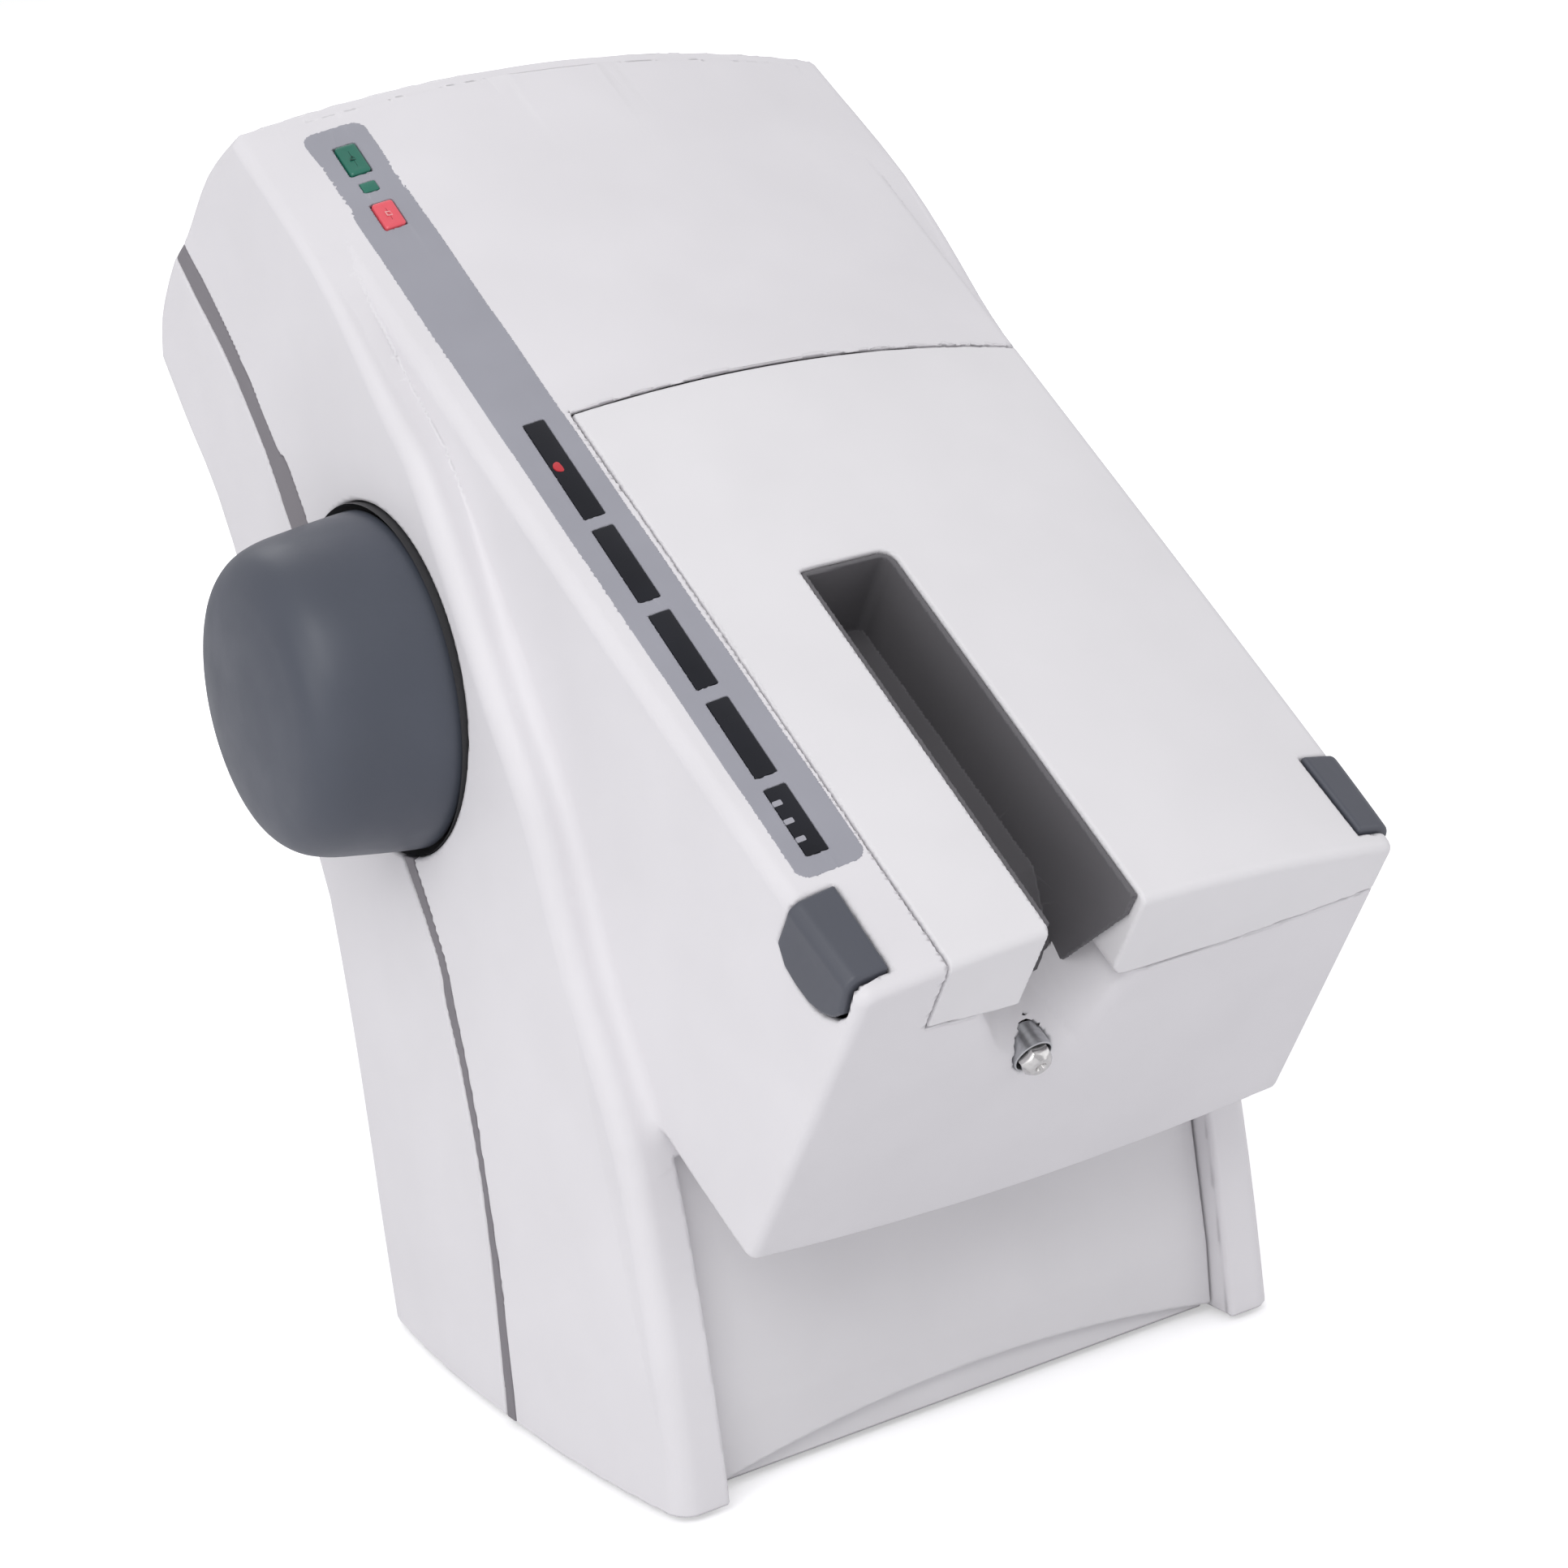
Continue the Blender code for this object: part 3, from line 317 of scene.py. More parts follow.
class Finish(Enum):
    """The finishes of the unit, each a recipe for one material."""

    HOUSING = MouldedPlastic("finish_housing_white", (0.765, 0.752, 0.772), 0.44)
    LID = MouldedPlastic("finish_lid_white", (0.785, 0.775, 0.79), 0.42)
    PANEL = MouldedPlastic("finish_panel_white", (0.73, 0.72, 0.735), 0.46)
    GRIP = MouldedPlastic("finish_grip_slate", (0.074, 0.083, 0.106), 0.43, 0.5, 0.05, 0.05, 0.45)
    LEVER = MouldedPlastic("finish_lever_slate", (0.086, 0.092, 0.112), 0.4, 0.4, 0.03, 0.04, 0.45)
    BAY = MouldedPlastic("finish_bay_grey", (0.14, 0.136, 0.144), 0.58, 0.6, 0.05, 0.05, 0.3)
    STRIP = PrintedFilm("finish_keypad_film", (0.335, 0.338, 0.38), 0.42)
    TRIM = MouldedPlastic("finish_seam_grey", (0.21, 0.198, 0.215), 0.5, 0.5, 0.03, 0.04, 0.35)
    WINDOW = PrintedFilm("finish_window_smoked", (0.012, 0.013, 0.018), 0.25, 0.0, 0.2, 0.0, 0.3)
    MARK = PrintedFilm("finish_scale_mark", (0.36, 0.36, 0.4), 0.4)
    KEY_GREEN = PrintedFilm("finish_key_green", (0.014, 0.155, 0.105), 0.34, 0.3, 0.08)
    KEY_RED = PrintedFilm("finish_key_red", (0.83, 0.105, 0.135), 0.34, 0.3, 0.05)
    SIGN_DARK = PrintedFilm("finish_key_sign_dark", (0.006, 0.055, 0.04), 0.4)
    SIGN_PALE = PrintedFilm("finish_key_sign_pale", (0.86, 0.42, 0.42), 0.4)
    LIT_RED = PrintedFilm("finish_lit_red", (0.45, 0.02, 0.03), 0.3, 0.4, 0.1, 0.2)
    STEEL = BrushedMetal("finish_bright_steel", (0.66, 0.66, 0.67))
    SHAFT = BrushedMetal("finish_shaft_steel", (0.72, 0.71, 0.7), 0.16, (0.3, 0.3, 0.3), 0.4)
    SHEET = BrushedMetal("finish_sheet_metal", (0.56, 0.57, 0.59), 0.36, (0.05, 1, 0.05), 0.6)
    RUBBER = Rubber("finish_foot_rubber", (0.018, 0.018, 0.019))
    BLACK = MouldedPlastic("finish_fitting_black", (0.022, 0.022, 0.024), 0.46, 0.5, 0.05, 0.1, 0.45)
    NYLON = MouldedPlastic("finish_gear_nylon", (0.72, 0.71, 0.66), 0.38, 0.8, 0.02, 0.03, 0.5, 12.0)
    BOARD = CircuitBoard("finish_board_laminate")

    def material(self) -> bpy.types.Material:
        """The finish's material, made at its first use."""
        found = bpy.data.materials.get(self.value.name)
        return found or self.value.build()


# ---------------------------------------------------------------- distance fields


def smooth_step(value: Array) -> Array:
    """Eases 0..1 with flat ends, and holds beyond them."""
    share = np.clip(value, 0.0, 1.0)
    return share * share * (3 - 2 * share)


def meet(first: Array, second: Array, radius: Array | float) -> Array:
    """What both fields hold, with the edge between them rounded."""
    over = np.hypot(np.maximum(first + radius, 0.0), np.maximum(second + radius, 0.0))
    return np.minimum(np.maximum(first, second), -radius) + over


def carve(solid: Array, cutter: Array, radius: Array | float) -> Array:
    """The first field less the second, with rounded rims."""
    return meet(solid, -cutter, radius)


def blend(first: Array, second: Array, width: Array | float) -> Array:
    """Both fields together, with a soft hollow where they join."""
    reach = np.maximum(width, 1e-6)
    share = np.maximum(reach - np.abs(first - second), 0.0) / reach
    return np.minimum(first, second) - share * share * reach / 4


def polygon_distance(u: Array, v: Array, outline: Sequence[Point]) -> Array:
    """Signed distance to a closed outline, negative inside it.

    Args:
        u: first coordinates of the points.
        v: second coordinates of the points.
        outline: corners of the outline.

    Returns:
        One distance for each point.
    """
    nearest = np.full(np.shape(u), 1e18)
    inside = np.zeros(np.shape(u), bool)
    for (u0, v0), (u1, v1) in zip(outline, [*outline[1:], outline[0]]):
        du, dv = u1 - u0, v1 - v0
        share = np.clip(((u - u0) * du + (v - v0) * dv) / (du * du + dv * dv), 0.0, 1.0)
        nearest = np.minimum(nearest, (u - u0 - share * du) ** 2 + (v - v0 - share * dv) ** 2)
        if dv:
            inside ^= ((v0 <= v) != (v1 <= v)) & (u < u0 + (v - v0) * du / dv)
    return np.where(inside, -1.0, 1.0) * np.sqrt(nearest)


def box_distance(u: Array, v: Array, low: Point, high: Point, radius: float = 0.0) -> Array:
    """Signed distance to a rectangle with rounded corners."""
    du = np.abs(u - (low[0] + high[0]) / 2) - (high[0] - low[0]) / 2 + radius
    dv = np.abs(v - (low[1] + high[1]) / 2) - (high[1] - low[1]) / 2 + radius
    return np.minimum(np.maximum(du, dv), 0) + np.hypot(np.maximum(du, 0), np.maximum(dv, 0)) - radius


def curve_through(points: Sequence[Point], steps: int = 4) -> list[tuple[float, ...]]:
    """A smooth open curve through the points, with this many steps between two of them."""
    padded = [points[0], *points, points[-1]]
    found = []
    for before, start, end, after in zip(padded, padded[1:], padded[2:], padded[3:]):
        for step in range(steps):
            t = step / steps
            found.append(tuple(
                0.5 * (2 * b + (c - a) * t + (2 * a - 5 * b + 4 * c - d) * t * t
                       + (3 * b - a - 3 * c + d) * t ** 3)
                for a, b, c, d in zip(before, start, end, after)))
    return found + [tuple(points[-1])]


class DistanceMap:
    """Signed distance to an outline, kept on a grid so that it can be read quickly."""

    def __init__(self, outline: Sequence[Point], low: Point, high: Point, step: float = 1.0) -> None:
        """Fills the grid.

        Args:
            outline: corners of the closed outline.
            low: lowest corner of the grid.
            high: highest corner of the grid.
            step: distance between two grid points.
        """
        self.low = low
        self.step = step
        us = np.arange(low[0], high[0] + step, step)
        vs = np.arange(low[1], high[1] + step, step)
        self.values = polygon_distance(*np.meshgrid(us, vs, indexing="ij"), outline)

    def __call__(self, u: Array, v: Array) -> Array:
        """The distances at these points."""
        last_u, last_v = self.values.shape[0] - 1.001, self.values.shape[1] - 1.001
        fu = np.clip((u - self.low[0]) / self.step, 0, last_u)
        fv = np.clip((v - self.low[1]) / self.step, 0, last_v)
        iu, iv = fu.astype(np.int32), fv.astype(np.int32)
        fu, fv = fu - iu, fv - iv
        rows = self.values
        return ((rows[iu, iv] * (1 - fv) + rows[iu, iv + 1] * fv) * (1 - fu)
                + (rows[iu + 1, iv] * (1 - fv) + rows[iu + 1, iv + 1] * fv) * fu)


@dataclass(frozen=True)
class Net:
    """Turns a field into a mesh: a net of quads on a grid, drawn tight onto the field's surface."""

    low: Point
    high: Point
    cell: float
    share: float = 1.0
    block: int = 4
    reach: float = 1.4

    def _values(self, shape: Field, low: Array, count: Array) -> Array:
        """The field on the grid, worked out only in blocks near its surface."""
        block, cell = self.block, self.cell
        axes = [low[a] + cell * (block * np.arange(count[a]) + (block - 1) / 2) for a in range(3)]
        coarse = shape(*np.meshgrid(*axes, indexing="ij"))
        near = np.abs(coarse) < self.reach * block * cell * 0.9 + cell
        fill = np.where(coarse < 0, -100.0, 100.0).astype(np.float32)
        six = np.empty((count[0], block, count[1], block, count[2], block), np.float32)
        six[:] = fill[:, None, :, None, :, None]
        found = np.argwhere(near)
        steps = cell * np.arange(block)
        for start in range(0, len(found), 4096):
            part = found[start:start + 4096]
            base = low + cell * block * part
            x = base[:, 0, None, None, None] + steps[None, :, None, None]
            y = base[:, 1, None, None, None] + steps[None, None, :, None]
            z = base[:, 2, None, None, None] + steps[None, None, None, :]
            values = shape(*np.broadcast_arrays(x, y, z))
            six[part[:, 0], :, part[:, 1], :, part[:, 2], :] = values
        return six.reshape([int(n) * block for n in count])

    def _cells(self, values: Array) -> tuple[Array, Array]:
        """The grid cells that the surface crosses, and each one's number."""
        inside = (values < 0).astype(np.uint8)
        total = np.zeros([n - 1 for n in inside.shape], np.uint8)
        for i in (0, 1):
            for j in (0, 1):
                for k in (0, 1):
                    total += inside[i:i + total.shape[0], j:j + total.shape[1], k:k + total.shape[2]]
        active = (total > 0) & (total < 8)
        number = np.full(total.shape, -1, np.int32)
        number[active] = np.arange(int(active.sum()))
        return np.argwhere(active), number

    @staticmethod
    def _middles(values: Array, cells: Array) -> Array:
        """The middle of the crossings on each cell's edges, as a place within the cell."""
        corners = [(i, j, k) for i in (0, 1) for j in (0, 1) for k in (0, 1)]
        at = [values[cells[:, 0] + i, cells[:, 1] + j, cells[:, 2] + k] for i, j, k in corners]
        total = np.zeros((len(cells), 3))
        count = np.zeros(len(cells))
        for a, first in enumerate(corners):
            for b, second in enumerate(corners):
                if b <= a or sum(p != q for p, q in zip(first, second)) != 1:
                    continue
                crossed = (at[a] < 0) != (at[b] < 0)
                gap = np.where(crossed, at[a] - at[b], 1.0)
                share = np.where(crossed, at[a] / gap, 0.0)[:, None]
                place = np.array(first) + share * (np.array(second) - np.array(first))
                total += np.where(crossed[:, None], place, 0.0)
                count += crossed
        return total / count[:, None]

    @staticmethod
    def _quads(values: Array, number: Array) -> Array:
        """The quads round every crossed grid edge, facing out."""
        inside = values < 0
        quads = []
        for axis in range(3):
            other = [a for a in range(3) if a != axis]
            first = [slice(1, -1)] * 3
            second = [slice(1, -1)] * 3
            first[axis], second[axis] = slice(0, -1), slice(1, None)
            here, there = inside[tuple(first)], inside[tuple(second)]
            at = np.argwhere(here != there)
            start = here[tuple(at.T)]
            for a in other:
                at[:, a] += 1
            ring = []
            for back_b, back_c in ((0, 0), (1, 0), (1, 1), (0, 1)):
                cell = at.copy()
                cell[:, (axis + 1) % 3] -= back_b
                cell[:, (axis + 2) % 3] -= back_c
                ring.append(number[tuple(cell.T)])
            ring = np.stack(ring, 1)
            quads.append(np.where(start[:, None], ring, ring[:, ::-1]))
        return np.concatenate(quads)

    def mesh(self, name: str, shape: Field) -> bpy.types.Mesh:
        """Makes the mesh, in metres of the row frame, with the field's own normals.

        Args:
            name: name of the mesh.
            shape: the field, in millimetres of the machine frame.

        Returns:
            The new mesh.
        """
        cell = self.cell * 1.0
        net = Net(self.low, self.high, cell, self.share, self.block, self.reach)
        low = np.array(net.low, float) - 2 * cell
        size = (np.array(net.high, float) - low) / cell + 2
        count = np.ceil(size / net.block).astype(int)
        values = net._values(shape, low, count)
        cells, number = net._cells(values)
        points = low + cell * (cells + net._middles(values, cells))
        quads = net._quads(values, number)
        points = settle(shape, points, cell * 0.6)
        mesh = mesh_of(name, points, quads)
        if net.share < 1.0:
            mesh = thinned(mesh, net.share)
            points = settle(shape, points_of(mesh), cell * 0.4)
            mesh.vertices.foreach_set("co", points.astype(np.float32).ravel())
        normals = slope_of(shape, points, 0.2)
        mesh.normals_split_custom_set_from_vertices(normals)
        mesh.transform(MACHINE_TO_ROW)
        LOG.info("%s: %d faces", name, len(mesh.polygons))
        return mesh


def slope_of(shape: Field, points: Array, step: float) -> Array:
    """The field's direction of steepest rise at each point, with unit length."""
    rise = []
    for axis in range(3):
        move = np.zeros(3)
        move[axis] = step
        rise.append(shape(*(points + move).T) - shape(*(points - move).T))
    rise = np.stack(rise, 1)
    return rise / np.maximum(np.linalg.norm(rise, axis=1, keepdims=True), 1e-9)


def settle(shape: Field, points: Array, limit: float, rounds: int = 2) -> Array:
    """Moves points onto the field's surface, by at most this far in each round."""
    for _ in range(rounds):
        away = np.clip(shape(*points.T), -limit, limit)
        points = points - slope_of(shape, points, 0.05) * away[:, None]
    return points


def points_of(mesh: bpy.types.Mesh) -> Array:
    """A mesh's points as an array."""
    found = np.empty(len(mesh.vertices) * 3, np.float32)
    mesh.vertices.foreach_get("co", found)
    return found.reshape(-1, 3).astype(float)


def mesh_of(name: str, points: Array, quads: Array) -> bpy.types.Mesh:
    """A smooth mesh from arrays of points and quads."""
    mesh = bpy.data.meshes.new(name)
    mesh.vertices.add(len(points))
    mesh.vertices.foreach_set("co", points.astype(np.float32).ravel())
    mesh.loops.add(quads.size)
    mesh.loops.foreach_set("vertex_index", quads.astype(np.int32).ravel())
    mesh.polygons.add(len(quads))
    mesh.polygons.foreach_set("loop_start", np.arange(len(quads), dtype=np.int32) * 4)
    mesh.update(calc_edges=True)
    mesh.validate()
    mesh.shade_smooth()
    return mesh


def thinned(mesh: bpy.types.Mesh, share: float) -> bpy.types.Mesh:
    """The mesh with its flatter stretches simplified to this share of its faces."""
    holder = bpy.data.objects.new("thinning", mesh)
    bpy.context.scene.collection.objects.link(holder)
    modifier = holder.modifiers.new("Thin", "DECIMATE")
    modifier.ratio = share
    graph = bpy.context.evaluated_depsgraph_get()
    name = mesh.name
    made = bpy.data.meshes.new_from_object(holder.evaluated_get(graph))
    bpy.data.objects.remove(holder)
    bpy.data.meshes.remove(mesh)
    made.name = name
    made.shade_smooth()
    return made


# ---------------------------------------------------------------- cabinet shapes


def to_head(y: Array, z: Array) -> tuple[Array, Array]:
    """The (s, n) of points given by the machine frame's (y, z)."""
    dy, dz = y - HEAD_Y, z - HEAD_Z
    cosine, sine = math.cos(SLOPE), math.sin(SLOPE)
    return dy * cosine + dz * sine, dz * cosine - dy * sine


@dataclass(frozen=True)
class HeadShape:
    """The sloping head: an arched top, flanks that lean out downwards, a flat front."""

    length: float = 316.0
    depth: float = 97.8
    belly: float = 6.5
    half_front: float = 77.1
    half_gain: float = 7.0
    gain_at: float = 235.0
    lean: float = 4.1
    edge: float = 3.5
    nose: float = 2.6
    face: float = 0.4
    crown_front: float = 7.8
    crown_gain: float = 5.2
    crown_at: float = 320.0
    crown_half: float = 77.5
    crown_half_gain: float = 15.5

    def half(self, s: Array) -> Array:
        """Half-width of the top at s."""
        return self.half_front + self.half_gain * (np.maximum(s, 0.0) / self.gain_at) ** 0.6

    def crown(self, x: Array, s: Array) -> Array:
        """Height of the arched top over the plane of the head frame."""
        share = np.clip(s, 0.0, self.crown_at) / self.crown_at
        half = self.crown_half + self.crown_half_gain * share
        return (self.crown_front + self.crown_gain * share) * np.maximum(0.0, 1 - (x / half) ** 2)

    def skin(self, x: Array, s: Array, n: Array, edge: float | None = None) -> Array:
        """Signed distance to the head's skin."""
        down = np.clip((-5.0 - n) / (self.depth - 5.0), 0.0, 1.3)
        side = np.abs(x) - self.half(s) - self.lean * down
        top = n - self.crown(x, s)
        wide = self.half_front + self.lean
        under = -self.depth - self.belly * np.clip(1 - (x / wide) ** 2, 0.0, 1.0) - n
        skin = meet(side, top, self.edge if edge is None else edge)
        skin = meet(skin, under, 2.0)
        skin = meet(skin, self.face - s, self.nose)
        return np.maximum(skin, s - self.length)


@dataclass(frozen=True)
class BodyShape:
    """The body below and behind the head: a curved side outline and barrel-shaped flanks."""

    front: tuple = ((-2.4, -40), (-2.4, 2), (1.6, 55), (8.9, 96.4), (25.9, 136.9), (38.5, 176.6),
                    (53.5, 205.7), (79, 255.2), (98, 275.4), (131.2, 308.6), (175, 340))
    top: tuple = ((175, 340), (198.5, 329.7), (219.5, 313), (232.5, 305), (247.9, 289.2),
                  (253.5, 275.4))
    rear: tuple = ((253.5, 275.4), (241.7, 257.5), (218, 223), (179.6, 136.3), (174.5, 122.9),
                   (170.2, 92.2), (168.4, 60.4), (168.3, 30), (168.3, -40))
    seam_front: tuple = ((77.4, -60), (77.5, 22.3), (79.8, 56.4), (84.1, 87.2), (90.2, 115.1),
                         (98.9, 137.8), (156.9, 242), (169.9, 256.1), (187.2, 276.7),
                         (205.4, 295.2), (218.9, 307.2), (249, 334))
    seam_rear: tuple = ((83.2, -60), (83, 20.4), (83.8, 55.2), (88, 86.2), (95.7, 113.8),
                        (104, 136.7), (169.3, 238.4), (181.3, 256.8), (198.9, 277.4),
                        (217.8, 294.5), (224.8, 301.3), (256, 331))
    half_width: float = 95.2
    taper: float = 2.2
    height: float = 341.0
    length: float = 169.5
    lean: float = 0.22
    bulge: float = 6.1
    lift: float = 0.955
    bulge_top: float = 300.0
    edge: float = 6.0
    top_edge: float = 3.0

    def outline(self) -> list[tuple[float, ...]]:
        """The side outline, all the way round."""
        return (curve_through(self.rear[::-1])[:-1] + curve_through(self.top[::-1])[:-1]
                + curve_through(self.front[::-1]))

    @staticmethod
    def ahead(line: Sequence[Point]) -> list[tuple[float, ...]]:
        """The outline of everything in front of a seam line."""
        return [*curve_through(line), (line[-1][0], 420), (-200, 420), (-200, -90),
                (line[0][0], -90)]

    def half(self, y: Array, z: Array) -> Array:
        """Half-width of the body at a point of its side outline."""
        height = np.maximum(z, 0.0)
        share = np.clip((y - self.lean * height) / self.length, 0.0, 1.0)
        barrel = 1 - np.abs(2 * share - 1) ** 2.3
        fade = np.maximum(0.0, 1 - height / self.bulge_top)
        return self.half_width - self.taper * height / self.height + self.bulge * barrel * fade


HEAD = HeadShape()
BODY = BodyShape()
FLOOR = 0.0
SIDE_MAP = DistanceMap(BODY.outline(), (-60, -60), (300, 370))
SEAM_FRONT_MAP = DistanceMap(BODY.ahead(BODY.seam_front), (-60, -60), (300, 370))
SEAM_REAR_MAP = DistanceMap(BODY.ahead(BODY.seam_rear), (-60, -60), (300, 370))


def body_skin(x: Array, y: Array, z: Array) -> Array:
    """Signed distance to the body's skin, whose top carries the head's crown."""
    s, _ = to_head(y, z)
    lift = BODY.lift * smooth_step((z - 230.0) / 100.0) * HEAD.crown(x, s)
    outline = SIDE_MAP(y + lift * math.sin(SLOPE), z - lift * math.cos(SLOPE))
    edge = BODY.edge + (BODY.top_edge - BODY.edge) * smooth_step((z - 240.0) / 60.0)
    return meet(outline, np.abs(x) - BODY.half(y, z), edge)


@dataclass(frozen=True)
class FlapSpace:
    """The space that the flap fills, which ends round the hinge's axis."""

    left: float = -54.9
    left_lean: float = 0.0075
    rear: float = 188.2
    axis_s: float = 173.2
    axis_n: float = -5.0
    skirt: float = 15.0
    skirt_belly: float = 5.5
    half: float = 80.0
    pin: float = 2.15

    def skirt_at(self, x: Array) -> Array:
        """How far below the head's plane the flap's front skirt ends."""
        return self.skirt + self.skirt_belly * (1 - np.clip(np.abs(x) / self.half, 0, 1) ** 2)

    def distance(self, x: Array, s: Array, n: Array) -> Array:
        """Signed distance to the space."""
        reach = np.minimum(np.abs(x), self.half)
        rise = HEAD.crown(reach, np.full_like(reach, self.rear)) - self.axis_n
        radius = np.hypot(self.rear - self.axis_s, rise)
        slab = np.maximum(s - self.axis_s, -self.skirt_at(x) - n)
        tail = np.hypot(s - self.axis_s, n - self.axis_n) - radius
        return np.maximum(np.minimum(slab, tail), self.left - self.left_lean * s - x)


FLAP_SPACE = FlapSpace()


@dataclass(frozen=True)
class Trough:
    """The channel below the slot that the mixing tip lies in, as (x, n) outlines."""

    front: tuple = ((-43, -6), (-40.3, -20.7), (-34.6, -29.6), (-29.8, -40.7), (-22.3, -47.0),
                    (-6.9, -48), (-1.7, -47.6), (1.0, -44.9), (1.5, -36.4), (3.2, -27.8),
                    (6.1, -22.9), (10, -17), (13, -6))
    inner: tuple = ((-33, -2), (-32.5, -14), (-31, -22), (-28, -27.5), (-23, -30), (-10, -30),
                    (-5, -27.5), (-1.5, -22), (1.5, -14), (3, -2))
    length: float = 26.0
    end: float = 20.0
    reach: float = 30.0
    wall: float = 3.0
    rise: float = 0.5
    lip: float = 2.8
    lip_length: float = 5.0

    def _morph(self) -> tuple[list[Point], list[Point]]:
        """Both outlines as smooth curves."""
        return curve_through(self.front, 3), curve_through(self.inner, 3)

    def channel(self, x: Array, s: Array, n: Array) -> Array:
        """Signed distance to the open channel."""
        found = np.full(np.shape(x), 60.0)
        near = (s < 45) & (np.abs(x + 14) < 60) & (n > -90) & (n < 30)
        if near.any():
            front, inner = self._morph()
            px, ps, pn = x[near], s[near], n[near]
            share = np.clip(ps / self.length, 0.0, 1.0) ** self.rise
            found[near] = (polygon_distance(px, pn, front) * (1 - share)
                           + polygon_distance(px, pn, inner) * share)
        return found


TROUGH = Trough()


@dataclass(frozen=True)
class DriveLine:
    """The mixing shaft's line through the head."""

    x: float = -16.2
    n: float = -44.3
    hole: float = 5.2

    def distance(self, x: Array, n: Array) -> Array:
        """Distance from the shaft's hole."""
        return np.hypot(x - self.x, n - self.n) - self.hole


DRIVE = DriveLine()


@dataclass(frozen=True)
class LeverShape:
    """A release lever, which wraps over a front corner of the head."""

    outline: tuple = ((7.6, 14), (6.2, 3), (4.4, -8.5), (6.3, -11.8), (10, -14.4), (14.5, -15.7),
                      (20, -15.8), (25.2, -15.0), (30, -11.8), (30.5, 0), (32, 6), (32.3, 14))
    inner_x: float = 68.2
    proud: float = 1.0
    pin_x: float = 68.5
    pin_n: float = -4.2
    gap: float = 0.6
    drop: float = 0.7
    inward: float = 0.3
    edge: float = 2.2
    thickness: float = 4.2
    knuckle: float = 2.6
    knuckle_at: float = 19.0
    knuckle_half: float = 10.5
    bore: float = 1.3

    def region(self, x: Array, s: Array, n: Array, grow: float = 0.0) -> Array:
        """Signed distance to the lever's place in the head's skin."""
        found = np.full(np.shape(x), 60.0)
        near = (s < 60) & (s > -25) & (n > -45) & (n < 45) & (np.abs(x) > 40)
        if near.any():
            found[near] = polygon_distance(s[near], n[near], self.outline)
        return np.maximum(found, self.inner_x - np.abs(x)) - grow

    def pocket(self, x: Array, s: Array, n: Array) -> Array:
        """The lever's place with a gap round it, wide enough below for the lever to turn inwards."""
        drop = self.drop * np.clip((np.abs(x) - self.pin_x) / 11.0, 0.0, 1.0)
        inward = self.inward * np.clip((self.pin_n - n) / 8.0, 0.0, 1.0)
        return self.region(np.abs(x) + inward, s, n + drop, self.gap)

    def solid(self, side: Side) -> Field:
        """The lever's field on one side."""
        def shape(x: Array, y: Array, z: Array) -> Array:
            """The curved plate, the knuckle under it and the bore for its pin."""
            s, n = to_head(y, z)
            skin = HEAD.skin(x, s, n, self.edge)
            shell = np.maximum(skin - self.proud, -skin - self.thickness)
            lever = meet(shell, self.region(x, s, n), 1.1)
            from_pin = np.hypot(np.abs(x) - self.pin_x, n - self.pin_n)
            knuckle = np.abs(s - self.knuckle_at) - self.knuckle_half
            knuckle = meet(from_pin - self.knuckle, knuckle, 0.4)
            lever = carve(np.minimum(lever, knuckle), from_pin - self.bore, 0.2)
            return np.maximum(lever, -side.value * x)
        return shape


LEVER = LeverShape()


@dataclass(frozen=True)
class StripShape:
    """The keypad strip's place on the arched top."""

    middle: float = -64.9
    lean: float = 0.0126
    half: float = 8.8
    s0: float = 35.2
    s1: float = 311.0
    corner: float = 3.6
    ledge: float = 1.2
    recess: float = 1.6

    def distance(self, x: Array, s: Array) -> Array:
        """Signed distance to the strip's outline, which leans a little."""
        across = x - self.middle + self.lean * s
        return box_distance(across, s, (-self.half, self.s0), (self.half, self.s1), self.corner)


STRIP = StripShape()


@dataclass
class Piece:
    """A visible piece with its material, the body it rides on and the CAD nodes it stands for."""

    obj: bpy.types.Object
    body: Body
    slot: str
    nodes: tuple[str, ...] = ()

    def place(self) -> None:
        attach(self.obj, self.body.value)
        if self.nodes:
            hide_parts(*self.nodes)
        LOG.info("placed %s on %s", self.obj.name, self.body.value)


class SubAssembly:
    """Common ground of the sub-assemblies: it makes, dresses and places pieces."""

    def make(self, name: str, mesh: bpy.types.Mesh, finish: Finish, body: Body, slot: str,
             *nodes: str) -> bpy.types.Object:
        """Makes and places one piece.

        Args:
            name: name of the piece.
            mesh: its mesh, in metres of the row frame.
            finish: its finish.
            body: the body it rides on.
            slot: the record's material slot, kept on the piece and not used.
            nodes: the CAD nodes it stands for.

        Returns:
            The new object.
        """
        mesh.materials.clear()
        mesh.materials.append(finish.material())
        obj = bpy.data.objects.new(name, mesh)
        bpy.context.scene.collection.objects.link(obj)
        Piece(obj, body, slot, nodes).place()
        return obj

    def build(self) -> None:
        """Builds the sub-assembly."""
        raise NotImplementedError


# ---------------------------------------------------------------- plain mesh makers


